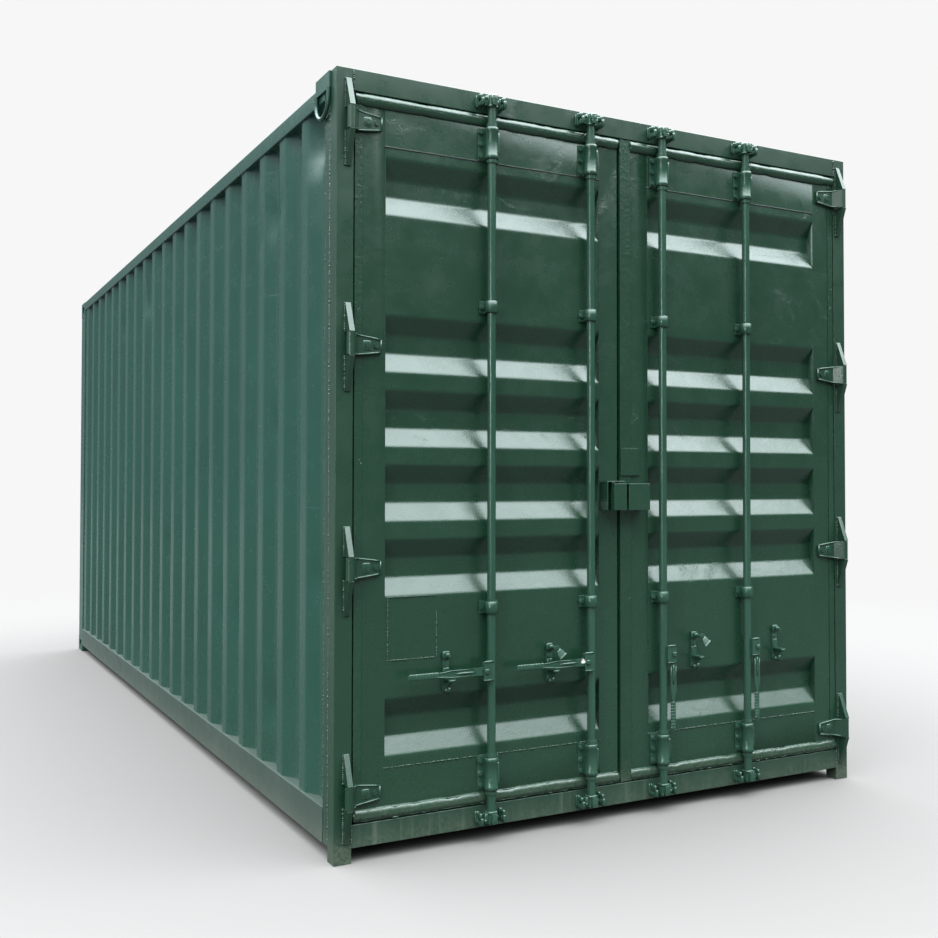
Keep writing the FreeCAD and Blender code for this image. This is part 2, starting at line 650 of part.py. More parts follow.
# ---------------------------------------------------------------- handles
def handle(side, at, hanging):
    """Flat bar: round heel at the pivot, wide waist with a hole, narrow grip."""
    x = side * (at + PIVOT_SIDE)
    length = HANDLE_LENGTH
    half_widths = [(0.0, HANDLE_HEEL), (0.18, HANDLE_WAIST), (0.46, HANDLE_WAIST),
                   (0.56, HANDLE_GRIP), (1.0, HANDLE_GRIP)]
    y0 = -HANDLE_OUT - HANDLE_WALL / 2
    upper = [V(share * length, y0, wide) for share, wide in half_widths]
    lower = [V(share * length, y0, -wide) for share, wide in reversed(half_widths)]
    bar = prism(upper + lower, V(0, HANDLE_WALL, 0))
    heel = Part.makeCylinder(HANDLE_HEEL, HANDLE_WALL, V(0, y0, 0), V(0, 1, 0))
    bar = bar.fuse(heel)
    bar = bar.cut(Part.makeCylinder(PIVOT_RADIUS + PIVOT_PLAY, HANDLE_WALL + 2,
                                    V(0, y0 - 1, 0), V(0, 1, 0)))
    bar = bar.cut(Part.makeCylinder(4.5, HANDLE_WALL + 2,
                                    V(0.38 * length, y0 - 1, 0), V(0, 1, 0)))
    if side < 0:
        bar = bar.mirror(V(0, 0, 0), V(1, 0, 0))
    if hanging:
        bar.rotate(V(0, 0, 0), V(0, 1, 0), 90 * side)
    bar.translate(V(x, 0, HANDLE_Z))
    return bar


def retainer(side, at, stud_reach):
    """Plate on the leaf with the ledge that carries the handle and a stud above it."""
    x = side * (at + CATCH_SIDE)
    half = RETAINER_WIDTH / 2
    plate_y = DOOR_FACE - FLANGE_WALL
    plate = block(x - half, x + half, plate_y, DOOR_FACE,
                  HANDLE_Z - RETAINER_DOWN, HANDLE_Z + RETAINER_UP)
    top = HANDLE_Z - HANDLE_WAIST - LEDGE_GAP
    ledge = block(x - half, x + half, -LEDGE_REACH, DOOR_FACE - FLANGE_WALL,
                  top - LEDGE_WALL, top)
    brace = prism([V(x - 3, plate_y, top - LEDGE_WALL), V(x - 3, -LEDGE_REACH, top - LEDGE_WALL),
                   V(x - 3, plate_y, top - LEDGE_WALL - 40)], V(6, 0, 0))
    stud = Part.makeCylinder(STUD_RADIUS, stud_reach + plate_y,
                             V(x, -stud_reach, HANDLE_Z + STUD_UP), V(0, 1, 0))
    return plate.fuse(ledge).fuse(brace).fuse(stud)


def retainers(side):
    """The one beside the inner rod has the long stud that its catch swings on."""
    long_stud = FRONT_REACH
    return [retainer(side, ROD_AT[0], long_stud), retainer(side, ROD_AT[1], STUD_SHORT)]


def catch(side):
    """Swing catch on the long stud, leaning to the right."""
    x = side * (ROD_AT[0] + CATCH_SIDE)
    z = HANDLE_Z + STUD_UP
    y0 = -CATCH_OUT - CATCH_WALL / 2
    boss = Part.makeCylinder(CATCH_BOSS, CATCH_WALL, V(0, y0, 0), V(0, 1, 0))
    half = CATCH_WIDTH / 2
    plate = prism([V(0, y0, CATCH_BOSS), V(0, y0, -CATCH_BOSS * 0.6),
                   V(CATCH_LENGTH * 0.55, y0, -half), V(CATCH_LENGTH, y0, -half),
                   V(CATCH_LENGTH, y0, half), V(CATCH_LENGTH * 0.55, y0, half)],
                  V(0, CATCH_WALL, 0))
    shape = boss.fuse(plate)
    shape = shape.cut(Part.makeCylinder(STUD_RADIUS + CATCH_PLAY, CATCH_WALL + 2,
                                        V(0, y0 - 1, 0), V(0, 1, 0)))
    shape.rotate(V(0, 0, 0), V(0, 1, 0), CATCH_LEAN)
    shape.translate(V(x, 0, z))
    return shape


# ---------------------------------------------------------------- lock box and cover
def left_lock_box():
    """Hood on the left leaf: outer side plate, top plate and its half of the front."""
    x1 = LEFT_EDGE
    wall = BOX_WALL
    side = block(BOX_SIDE_LEFT, BOX_SIDE_LEFT + wall, -BOX_SIDE_OUT, DOOR_FACE, BOX_LOW, BOX_HIGH)
    top = block(BOX_SIDE_LEFT, x1, -BOX_SIDE_OUT, DOOR_FACE, BOX_HIGH - wall, BOX_HIGH)
    front = block(BOX_FRONT_LEFT, x1, -BOX_OUT, -BOX_OUT + wall, BOX_LOW, BOX_HIGH - 2 * wall)
    cheek = block(BOX_FRONT_LEFT, BOX_FRONT_LEFT + wall, -BOX_OUT, DOOR_FACE,
                  BOX_LOW, BOX_HIGH - wall)
    return side.fuse(top).fuse(front).fuse(cheek).removeSplitter()


def right_lock_box():
    """The other half, on the right leaf, open towards the seam."""
    wall = BOX_WALL
    high = BOX_HIGH - 2 * wall
    back = DOOR_FACE - LIP_PROUD
    outer = block(RIGHT_EDGE, BOX_RIGHT, -BOX_OUT, back, BOX_LOW, high)
    inner = block(RIGHT_EDGE, BOX_RIGHT - wall, -BOX_OUT + wall, back, BOX_LOW, high - wall)
    foot = block(RIGHT_STILE, BOX_RIGHT, back, DOOR_FACE, BOX_LOW, high)
    foot_core = block(RIGHT_STILE, BOX_RIGHT - wall, back, DOOR_FACE, BOX_LOW, high - wall)
    return outer.cut(inner).fuse(foot.cut(foot_core)).removeSplitter()


def cover_plate():
    """Bent patch plate over the seal lip, above the lock box."""
    lip = DOOR_FACE - LIP_PROUD
    points = [(RIGHT_EDGE, lip - COVER_WALL), (RIGHT_STILE + 4, lip - COVER_WALL),
              (COVER_RIGHT, DOOR_FACE - COVER_WALL), (COVER_RIGHT, DOOR_FACE),
              (RIGHT_STILE, DOOR_FACE), (RIGHT_STILE, lip), (RIGHT_EDGE, lip)]
    return prism([V(x, y, COVER_LOW) for x, y in points], V(0, 0, COVER_HIGH - COVER_LOW))


# ---------------------------------------------------------------- lifting eyes
def lifting_eye():
    """Plate on the top rail with a U of round bar below it, left side."""
    y0 = EYE_FRONT
    y1 = y0 + EYE_WIDTH
    x_plate = -HALF - EYE_PLATE
    top = RAIL_TOP + EYE_PLATE_RISE
    plate = block(x_plate, -HALF, y0 - EYE_BAR, y1 + EYE_BAR, top - EYE_PLATE_HEIGHT, top)
    radius = (y1 - y0) / 2
    ym = (y0 + y1) / 2
    x = -HALF - EYE_BAR
    leg_top = top - EYE_PLATE_HEIGHT + 1
    leg_low = leg_top - EYE_DROP + radius
    path = Part.Wire([
        Part.LineSegment(V(x, y0, leg_top), V(x, y0, leg_low)).toShape(),
        Part.Arc(V(x, y0, leg_low), V(x, ym, leg_low - radius), V(x, y1, leg_low)).toShape(),
        Part.LineSegment(V(x, y1, leg_low), V(x, y1, leg_top)).toShape()])
    section = Part.Wire([Part.makeCircle(EYE_BAR, V(x, y0, leg_top), V(0, 0, -1))])
    bar = path.makePipeShell([section], True, True)
    return plate.fuse(bar)


# ---------------------------------------------------------------- write the nodes
save("front_posts", front_posts())
save("door_header", [cross_tube(HEADER_BOTTOM, FRAME_TOP)])
save("door_sill", [cross_tube(FOOT_HEIGHT, SILL_TOP)])
save("door_stops", door_stops())
save("header_beam", [stop_beam(STOP_TOP, RAIL_TOP)])
save("sill_beam", [stop_beam(FOOT_HEIGHT, FLOOR_TOP)])
save("rear_castings", rear_castings())
save("rear_posts", rear_posts())
save("rear_rails", rear_rails())
save("top_rails", top_rails())
save("bottom_rails", bottom_rails())
save("side_wall_left", [side_wall(-1)])
save("side_wall_right", [side_wall(1)])
save("end_wall", [end_wall()])
save("roof_panel", [roof_panel()])
save("floor_boards", floor_boards())
save("cross_members", cross_members())
save("hinge_lugs", hinge_lugs())
save("cam_keepers", cam_keepers())
eye = lifting_eye()
save("lifting_eyes", [eye, mirrored(eye)])

for side, name in ((-1, "left"), (1, "right")):
    save(name + "_door_frame", door_frame(side))
    save(name + "_door_panel", [door_panel(side)])
    save(name + "_door_seal", door_seal(side))
    save(name + "_hinge_blades", hinge_blades(side))
    save(name + "_rod_brackets", rod_brackets(side))
    save(name + "_handle_retainers", retainers(side))
    save(name + "_catch", [catch(side)])
    for at, place in zip(ROD_AT, ("inner", "outer")):
        save(name + "_" + place + "_rod", [lock_rod(side, at)])
        save(name + "_" + place + "_handle", [handle(side, at, side > 0)])

save("left_lock_box", [left_lock_box()])
save("right_lock_box", [right_lock_box()])
save("cover_plate", [cover_plate()])
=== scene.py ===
# %% [markdown]
# # A used steel shipping container
# The construction model gives every tube, hinge and rod at its real size. This lesson dresses it:
# pressed sheets with soft bends and dents, rubber seals, welds, bolts, forged handles, and a
# thick green repaint with dust, chips and rust. Sizes are metres, the doors face -Y.

# %% Load the frame
import json
import math
import random

import bmesh
import bpy
import numpy as np
from mathutils import Matrix, Vector
from mathutils.noise import noise as ripple


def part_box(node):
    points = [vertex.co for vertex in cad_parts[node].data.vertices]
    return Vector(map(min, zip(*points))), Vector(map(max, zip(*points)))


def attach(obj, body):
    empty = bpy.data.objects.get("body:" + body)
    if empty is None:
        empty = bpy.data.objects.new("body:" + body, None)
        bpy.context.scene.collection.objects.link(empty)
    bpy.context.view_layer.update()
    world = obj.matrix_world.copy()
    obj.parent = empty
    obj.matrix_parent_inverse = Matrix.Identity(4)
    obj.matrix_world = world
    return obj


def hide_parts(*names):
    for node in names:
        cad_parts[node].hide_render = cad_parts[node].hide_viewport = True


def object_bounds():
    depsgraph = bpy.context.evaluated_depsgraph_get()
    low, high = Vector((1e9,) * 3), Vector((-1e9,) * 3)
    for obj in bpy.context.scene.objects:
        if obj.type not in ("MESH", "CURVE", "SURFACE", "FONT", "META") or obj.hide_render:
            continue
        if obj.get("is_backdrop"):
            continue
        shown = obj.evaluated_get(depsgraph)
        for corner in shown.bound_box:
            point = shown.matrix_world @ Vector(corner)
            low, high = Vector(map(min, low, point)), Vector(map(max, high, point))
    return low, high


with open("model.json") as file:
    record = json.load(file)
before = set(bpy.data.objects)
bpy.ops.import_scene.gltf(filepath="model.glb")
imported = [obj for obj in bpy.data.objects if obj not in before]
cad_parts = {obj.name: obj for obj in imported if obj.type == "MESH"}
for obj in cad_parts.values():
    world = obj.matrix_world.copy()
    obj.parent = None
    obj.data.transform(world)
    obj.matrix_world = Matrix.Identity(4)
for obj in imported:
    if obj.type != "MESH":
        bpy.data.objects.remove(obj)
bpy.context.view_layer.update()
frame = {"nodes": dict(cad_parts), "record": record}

nodes = frame["nodes"]
joints = {joint["name"]: joint for joint in frame["record"]["behaviour"]["joints"]}

# %% [markdown]
# Every place below is read from the frame, so that the pieces sit where the steel is.
# Only sizes that the frame doesn't hold, such as bolt heads and bend radii, are written here.

# %% Places taken from the frame
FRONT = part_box("front_posts")[0].y
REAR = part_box("rear_castings")[1].y
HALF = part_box("front_posts")[1].x
POST_IN = -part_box("door_header")[0].x
LEAF_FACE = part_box("left_door_panel")[0].y
print("front plane y %.4f, leaf face y %.4f, half width %.4f" % (FRONT, LEAF_FACE, HALF))


def joint_place(name):
    """Where a joint turns, at rest."""
    return Vector(joints[name]["pos_m"])


# %% [markdown]
# ## Small helpers for node trees
# A node tree written out call by call hides what it does. One helper makes a node, sets it and
# feeds its inputs; a few more name the steps that come up in every finish: noise, a soft
# threshold, arithmetic, and mixing two colours.

# %% Node helpers
def wire(tree, kind, feeds=None, **settings):
    """One node: settings first, then each input either linked or set."""
    made = tree.nodes.new(kind)
    for key, value in settings.items():
        setattr(made, key, value)
    for key, value in (feeds or {}).items():
        socket = made.inputs[key]
        if isinstance(value, bpy.types.NodeSocket):
            tree.links.new(value, socket)
        else:
            socket.default_value = value
    return made


def maths(tree, operation, a, b=0.0, clamp=False):
    return wire(tree, "ShaderNodeMath", {0: a, 1: b}, operation=operation, use_clamp=clamp).outputs[0]


def times(tree, a, b, clamp=False):
    return maths(tree, "MULTIPLY", a, b, clamp)


def plus(tree, a, b, clamp=False):
    return maths(tree, "ADD", a, b, clamp)


def minus(tree, a, b):
    return maths(tree, "SUBTRACT", a, b)


def vectors(tree, operation, a, b=None):
    """Arithmetic on vectors. A length, a distance or a dot product comes out as one value."""
    feeds = {0: a}
    if b is not None:
        feeds["Scale" if operation == "SCALE" else 1] = b
    made = wire(tree, "ShaderNodeVectorMath", feeds, operation=operation)
    return made.outputs["Value" if operation in ("DOT_PRODUCT", "DISTANCE", "LENGTH") else 0]


def noise(tree, where, scale, detail=3.0, rough=0.55, twist=0.0):
    feeds = {"Vector": where, "Scale": scale, "Detail": detail, "Roughness": rough, "Distortion": twist}
    return wire(tree, "ShaderNodeTexNoise", feeds).outputs["Fac"]


def stretched(tree, where, scale, turn=(0.0, 0.0, 0.0)):
    return wire(tree, "ShaderNodeMapping", {"Vector": where, "Scale": scale, "Rotation": turn}).outputs[0]


def soft_step(tree, value, low, high):
    """0 below low, 1 above high, smooth between."""
    feeds = {"Value": value, "From Min": low, "From Max": high}
    return wire(tree, "ShaderNodeMapRange", feeds, interpolation_type="SMOOTHSTEP").outputs["Result"]


def mixed(tree, share, a, b, mode="MIX"):
    """Two colours by a share from 0 to 1."""
    return wire(tree, "ShaderNodeMix", {0: share, 6: a, 7: b}, data_type="RGBA", blend_type=mode).outputs[2]


def group(name, inputs, outputs):
    """An empty shader group with named sockets: (tree, its inputs, its output node)."""
    tree = bpy.data.node_groups.new(name, "ShaderNodeTree")
    kinds = {"value": "NodeSocketFloat", "colour": "NodeSocketColor", "vector": "NodeSocketVector"}
    for label, kind, value in inputs:
        socket = tree.interface.new_socket(name=label, in_out="INPUT", socket_type=kinds[kind])
        if value is not None:
            socket.default_value = value
    for label, kind in outputs:
        tree.interface.new_socket(name=label, in_out="OUTPUT", socket_type=kinds[kind])
    return tree, tree.nodes.new("NodeGroupInput").outputs, tree.nodes.new("NodeGroupOutput")


def place_group(tree, made, feeds):
    """The group as one node in a material or in another group."""
    return wire(tree, "ShaderNodeGroup", feeds, node_tree=made).outputs


# %% [markdown]
# ## Wear, as shader groups
# A container repainted in the yard shows the same few effects everywhere, in different
# strengths: paint that has drifted in tone, edges rubbed through, chips, scratches, dust that
# thickens towards the ground, and rain runs. Each effect is one group with named inputs, and
# each finish then sets its own values.

# %% Paint that drifts in tone
paint_drift, given, result = group(
    "paint_drift",
    [("Where", "vector", None), ("Paint", "colour", (0.03, 0.07, 0.045, 1)),
     ("Faded", "colour", (0.06, 0.11, 0.09, 1)), ("Cloud Scale", "value", 1.2), ("Amount", "value", 0.5)],
    [("Colour", "colour")])
clouds = noise(paint_drift, given["Where"], given["Cloud Scale"], 4.0, 0.6, 0.4)
grain = noise(paint_drift, given["Where"], 55.0, 4.0, 0.7)
share = soft_step(paint_drift, clouds, 0.36, 0.72)
share = times(paint_drift, share, given["Amount"])
grain_share = times(paint_drift, soft_step(paint_drift, grain, 0.45, 0.75), 0.22)
share = plus(paint_drift, share, grain_share, clamp=True)
paint_drift.links.new(mixed(paint_drift, share, given["Paint"], given["Faded"]), result.inputs["Colour"])
print("group:", paint_drift.name)

# %% [markdown]
# Paint wears through where the steel turns a corner. A rounded normal differs from the true one
# only near an edge, and noise breaks the worn line up.

# %% Edges rubbed through
edge_rub, given, result = group(
    "edge_rub",
    [("Where", "vector", None), ("Width", "value", 0.005), ("Amount", "value", 0.5)],
    [("Mask", "value")])
rounded = wire(edge_rub, "ShaderNodeBevel", {"Radius": given["Width"]}, samples=4).outputs[0]
true_normal = wire(edge_rub, "ShaderNodeNewGeometry").outputs["Normal"]
facing = vectors(edge_rub, "DOT_PRODUCT", rounded, true_normal)
edge = soft_step(edge_rub, minus(edge_rub, 1.0, facing), 0.02, 0.2)
patchy = soft_step(edge_rub, noise(edge_rub, given["Where"], 14.0, 5.0, 0.7), 0.42, 0.66)
rub = times(edge_rub, times(edge_rub, edge, patchy), given["Amount"], clamp=True)
edge_rub.links.new(rub, result.inputs["Mask"])
print("group:", edge_rub.name)

# %% [markdown]
# Chips come in fields and not everywhere: one noise picks the fields, a finer one the flakes.
# Scratches are the same idea, drawn out into thin lines.

# %% Chips and scratches
chips, given, result = group(
    "chips",
    [("Where", "vector", None), ("Size Scale", "value", 26.0), ("Amount", "value", 0.3)],
    [("Mask", "value")])
spots = noise(chips, given["Where"], given["Size Scale"], 6.0, 0.75, 0.6)
fields = soft_step(chips, noise(chips, given["Where"], 1.7, 2.0), 0.42, 0.74)
limit = minus(chips, 0.8, times(chips, times(chips, fields, given["Amount"]), 0.3))
flake = minus(chips, spots, limit)
chips.links.new(soft_step(chips, flake, 0.0, 0.02), result.inputs["Mask"])

scratches, given, result = group(
    "scratches",
    [("Where", "vector", None), ("Turn", "vector", (0.0, 0.5, 0.0)), ("Amount", "value", 0.3)],
    [("Mask", "value")])
lane = wire(scratches, "ShaderNodeMapping",
            {"Vector": given["Where"], "Rotation": given["Turn"], "Scale": (2.5, 2.5, 160.0)})
lines = noise(scratches, lane.outputs[0], 1.0, 2.0, 0.5)
fields = soft_step(scratches, noise(scratches, given["Where"], 3.0, 2.0), 0.55, 0.75)
limit = minus(scratches, 0.8, times(scratches, given["Amount"], 0.12))
thin = soft_step(scratches, minus(scratches, lines, limit), 0.0, 0.015)
scratches.links.new(times(scratches, thin, fields), result.inputs["Mask"])
print("groups:", chips.name, scratches.name)

# %% [markdown]
# Dust fades out with height along a ragged line. Rain runs are noise stretched tall, and broken
# up so that no run goes the whole way.

# %% Dust from the ground, and rain runs
ground_dust, given, result = group(
    "ground_dust",
    [("Where", "vector", None), ("Top", "value", 0.5), ("Fade", "value", 0.4), ("Amount", "value", 0.5)],
    [("Mask", "value")])
height = wire(ground_dust, "ShaderNodeSeparateXYZ", {0: given["Where"]}).outputs["Z"]
ragged = times(ground_dust, minus(ground_dust, noise(ground_dust, given["Where"], 6.0, 5.0, 0.7), 0.5), 0.7)
level = maths(ground_dust, "DIVIDE", minus(ground_dust, given["Top"], height), given["Fade"])
level = soft_step(ground_dust, plus(ground_dust, level, ragged), 0.0, 1.0)
fine = soft_step(ground_dust, noise(ground_dust, given["Where"], 90.0, 4.0, 0.8), 0.25, 0.8)
level = times(ground_dust, times(ground_dust, level, fine), given["Amount"], clamp=True)
ground_dust.links.new(level, result.inputs["Mask"])

rain_runs, given, result = group(
    "rain_runs",
    [("Where", "vector", None), ("Amount", "value", 0.4)],
    [("Mask", "value")])
tall = stretched(rain_runs, given["Where"], (22.0, 22.0, 0.55))
runs = soft_step(rain_runs, noise(rain_runs, tall, 1.0, 4.0, 0.65), 0.5, 0.74)
broken = soft_step(rain_runs, noise(rain_runs, given["Where"], 1.1, 3.0), 0.35, 0.7)
runs = times(rain_runs, times(rain_runs, runs, broken), given["Amount"])
rain_runs.links.new(runs, result.inputs["Mask"])
print("groups:", ground_dust.name, rain_runs.name)

# %% [markdown]
# Rust is blotchy in two browns, and its blotches give its height too. Thick paint adds three
# heights: broad lumps, a fine peel, and sags that hang down.

# %% Rust, and the texture of thick paint
rust_look, given, result = group(
    "rust_look",
    [("Where", "vector", None), ("Dark", "colour", (0.045, 0.017, 0.009, 1)),
     ("Bright", "colour", (0.25, 0.09, 0.03, 1))],
    [("Colour", "colour"), ("Height", "value")])
blotch = noise(rust_look, given["Where"], 38.0, 6.0, 0.75)
rust_look.links.new(mixed(rust_look, soft_step(rust_look, blotch, 0.35, 0.7), given["Dark"], given["Bright"]),
        result.inputs["Colour"])
rust_look.links.new(blotch, result.inputs["Height"])

thick_coat, given, result = group(
    "thick_coat",
    [("Where", "vector", None), ("Peel", "value", 0.5), ("Sags", "value", 0.5), ("Lumps", "value", 1.0)],
    [("Height", "value")])
lumps = times(thick_coat, noise(thick_coat, given["Where"], 11.0, 3.0, 0.5, 0.5), given["Lumps"])
peel = times(thick_coat, noise(thick_coat, given["Where"], 260.0, 2.0, 0.5), given["Peel"])
sag_field = stretched(thick_coat, given["Where"], (38.0, 38.0, 5.0))
sags = times(thick_coat, noise(thick_coat, sag_field, 1.0, 3.0, 0.6), given["Sags"])
coat = plus(thick_coat, plus(thick_coat, peel, sags), lumps)
thick_coat.links.new(coat, result.inputs["Height"])
print("groups:", rust_look.name, thick_coat.name)

# %% [markdown]
# A coat laid too thick shrinks into creases. A worn spot is a ragged disc round one place, such
# as where a handle rubs.

# %% Wrinkled paint, and worn spots
wrinkles, given, result = group(
    "wrinkles",
    [("Where", "vector", None), ("Amount", "value", 0.5)],
    [("Mask", "value"), ("Height", "value")])
fields = soft_step(wrinkles, noise(wrinkles, given["Where"], 2.3, 4.0, 0.65, 0.9), 0.58, 0.7)
fields = times(wrinkles, fields, given["Amount"])
folds = noise(wrinkles, given["Where"], 30.0, 5.0, 0.7, 1.2)
creases = maths(wrinkles, "ABSOLUTE", minus(wrinkles, folds, 0.5))
creases = times(wrinkles, creases, 4.0)
wrinkles.links.new(fields, result.inputs["Mask"])
wrinkles.links.new(times(wrinkles, fields, creases), result.inputs["Height"])

worn_spot, given, result = group(
    "worn_spot",
    [("Where", "vector", None), ("Centre", "vector", (0.0, 0.0, 0.0)), ("Radius", "value", 0.02)],
    [("Mask", "value")])
away = vectors(worn_spot, "DISTANCE", given["Where"], given["Centre"])
near = minus(worn_spot, 1.0, maths(worn_spot, "DIVIDE", away, given["Radius"]))
ragged = minus(worn_spot, noise(worn_spot, given["Where"], 120.0, 4.0, 0.7), 0.45)
worn_spot.links.new(soft_step(worn_spot, plus(worn_spot, near, ragged), 0.25, 0.35), result.inputs["Mask"])
print("groups:", wrinkles.name, worn_spot.name)


# %% [markdown]
# ## The paint itself
# One recipe serves every painted part. It lays the effects in the order in which they happened:
# paint, drift, rain runs, dust, then what came off again. The shader stays in the material, where
# its plain values, such as the specular level, can be set on its own sockets.

# %% Painted steel
DUST = (0.13, 0.12, 0.095, 1)
GRIME = (0.009, 0.013, 0.01, 1)
PRIMER = (0.07, 0.095, 0.08, 1)


def blank_finish(name):
    """A new material, its tree, its shader and the object coordinates."""
    made = bpy.data.materials.new(name)
    made.use_nodes = True
    tree = made.node_tree
    return made, tree, tree.nodes["Principled BSDF"], wire(tree, "ShaderNodeTexCoord").outputs["Object"]


def bumped(tree, shader, height, strength, distance):
    bump = wire(tree, "ShaderNodeBump", {"Height": height, "Strength": strength, "Distance": distance})
    tree.links.new(bump.outputs[0], shader.inputs["Normal"])


def painted_steel(name, paint, faded, drift=0.5, clouds=1.2, dust=0.3, dust_top=0.5, dust_fade=0.45,
                  chip=0.3, rub=0.4, runs=0.3, scratch=0.3, sheen=0.4, peel=0.5, sags=0.4, lumps=1.0,
                  wrinkle=0.0, worn=(), dust_colour=DUST, run_colour=GRIME, rust_top=0.0, bare=PRIMER):
    """A painted finish. rust_top is the height under which chips have gone to rust."""
    made, tree, shader, where = blank_finish(name)
    colour = place_group(tree, paint_drift,
            {"Where": where, "Paint": (*paint, 1), "Faded": (*faded, 1), "Cloud Scale": clouds,
             "Amount": drift})["Colour"]
    run_mask = place_group(tree, rain_runs, {"Where": where, "Amount": runs})["Mask"]
    colour = mixed(tree, run_mask, colour, run_colour)
    dust_mask = place_group(tree, ground_dust,
            {"Where": where, "Top": dust_top, "Fade": dust_fade, "Amount": dust})["Mask"]
    colour = mixed(tree, dust_mask, colour, dust_colour)
    line_mask = place_group(tree, scratches, {"Where": where, "Turn": (0.0, 0.45, 0.3), "Amount": scratch})["Mask"]
    chip_mask = place_group(tree, chips, {"Where": where, "Amount": chip})["Mask"]
    rub_mask = place_group(tree, edge_rub, {"Where": where, "Amount": rub})["Mask"]
    lost = maths(tree, "MAXIMUM", chip_mask, times(tree, line_mask, 0.7))
    rust = place_group(tree, rust_look, {"Where": where})
    rusted = place_group(tree, ground_dust, {"Where": where, "Top": rust_top, "Fade": 0.2, "Amount": 1.0})["Mask"]
    under = mixed(tree, rusted, bare, rust["Colour"])
    for centre, radius in worn:
        spot = place_group(tree, worn_spot, {"Where": where, "Centre": centre, "Radius": radius})["Mask"]
        # Bare steel and rust at the worn spot; the near-white of the bare steel is partly a painted glint.
        bright = mixed(tree, soft_step(tree, rust["Height"], 0.4, 0.6), (0.5, 0.5, 0.46, 1), (0.3, 0.1, 0.035, 1))
        under = mixed(tree, spot, under, bright)
        lost = maths(tree, "MAXIMUM", lost, spot)
    colour = mixed(tree, lost, colour, under)
    colour = mixed(tree, times(tree, rub_mask, 0.6), colour, under)
    tree.links.new(colour, shader.inputs["Base Color"])
    uneven = times(tree, minus(tree, noise(tree, where, 9.0, 4.0, 0.6), 0.5), 0.3)
    rough = plus(tree, plus(tree, sheen, uneven), times(tree, maths(tree, "MAXIMUM", dust_mask, lost), 0.4),
                 clamp=True)
    tree.links.new(rough, shader.inputs["Roughness"])
    coat = place_group(tree, thick_coat, {"Where": where, "Peel": peel, "Sags": sags, "Lumps": lumps})["Height"]
    height = minus(tree, coat, times(tree, lost, 0.6))
    if wrinkle:
        creased = place_group(tree, wrinkles, {"Where": where, "Amount": wrinkle})
        height = plus(tree, height, times(tree, creased["Height"], 1.6))
    bumped(tree, shader, height, 0.5, 0.0016)
    return made


GREEN = (0.0058, 0.0212, 0.0112)
GREEN_FADED = (0.009, 0.0285, 0.0165)
GRIP = joint_place("left_inner_handle_lift")
paint_frame = painted_steel("paint_frame", GREEN, GREEN_FADED, dust=0.55, dust_top=0.13, dust_fade=0.12, chip=0.3,
        rub=0.3, rust_top=0.12, sheen=0.3, wrinkle=0.6)
paint_sill = painted_steel("paint_sill", GREEN, GREEN_FADED, dust=0.3, dust_top=0.16, dust_fade=0.12, chip=0.4,
        rub=0.5, runs=0.75, run_colour=(0.075, 0.085, 0.068, 1), rust_top=0.1, sheen=0.42)
paint_door = painted_steel("paint_door", GREEN, GREEN_FADED, dust=0.05, dust_top=0.6, dust_fade=0.8, chip=0.22,
        rub=0.15, sheen=0.26, wrinkle=1.0, lumps=1.3)
# A lighter, bluer copy of the green for the walls, rails and castings of the sides and rear: painted cool sky light on
# the sides.
paint_wall = painted_steel("paint_wall", (0.0075, 0.0325, 0.0225), (0.0105, 0.042, 0.031), drift=0.6, clouds=0.8,
        dust=0.12, dust_top=0.6, dust_fade=0.7, chip=0.1, rub=0.08, runs=0.3, scratch=0.6, sheen=0.25, lumps=1.6)
paint_top = painted_steel("paint_top", GREEN, GREEN_FADED, drift=0.8, dust=0.0, chip=0.75, rub=0.5, scratch=0.9,
        rust_top=9.0, sheen=0.5, wrinkle=0.4)
paint_rail = painted_steel("paint_rail", (0.022, 0.034, 0.027), (0.038, 0.046, 0.04), dust=0.5, dust_top=0.15,
        dust_fade=0.14, chip=0.4, rub=0.4, rust_top=0.1, sheen=0.45)
# The gear's green is about 1.5 times lighter than the doors' green: a painted sheen for the gloss of handles, rods and
# brackets.
paint_gear = painted_steel("paint_gear", (0.0095, 0.032, 0.0195), (0.016, 0.046, 0.031), dust=0.05, dust_top=0.9,
        dust_fade=0.8, chip=0.3, rub=0.6, sheen=0.17, peel=0.9, sags=1.2, lumps=2.0,
                           worn=((tuple(GRIP + Vector((-0.0175, -0.004, 0.004))), 0.012),), bare=(0.12, 0.15, 0.13, 1),
                           rust_top=0.12)
# Near-black green for the bead at the head of each leaf: painted shade, the dark line under the step.
paint_shade = painted_steel("paint_shade", (0.0025, 0.006, 0.004), (0.004, 0.009, 0.006), dust=0.05, chip=0.2, rub=0.1,
        sheen=0.5)
# Paler green and near-white bare metal for the catches: partly wear on the lip, partly a painted highlight for their
# gloss.
paint_worn_and_sheen = painted_steel("paint_worn_and_sheen", (0.035, 0.065, 0.05), (0.1, 0.14, 0.12), dust=0.0, chip=0.9, rub=0.8,
        sheen=0.2, lumps=2.0, bare=(0.4, 0.44, 0.42, 1))
print("painted finishes:", 9)

# %% [markdown]
# The rubber seals were painted with everything else, so they read as the same green, duller,
# with the black rubber showing where the paint cracked off as the doors moved.

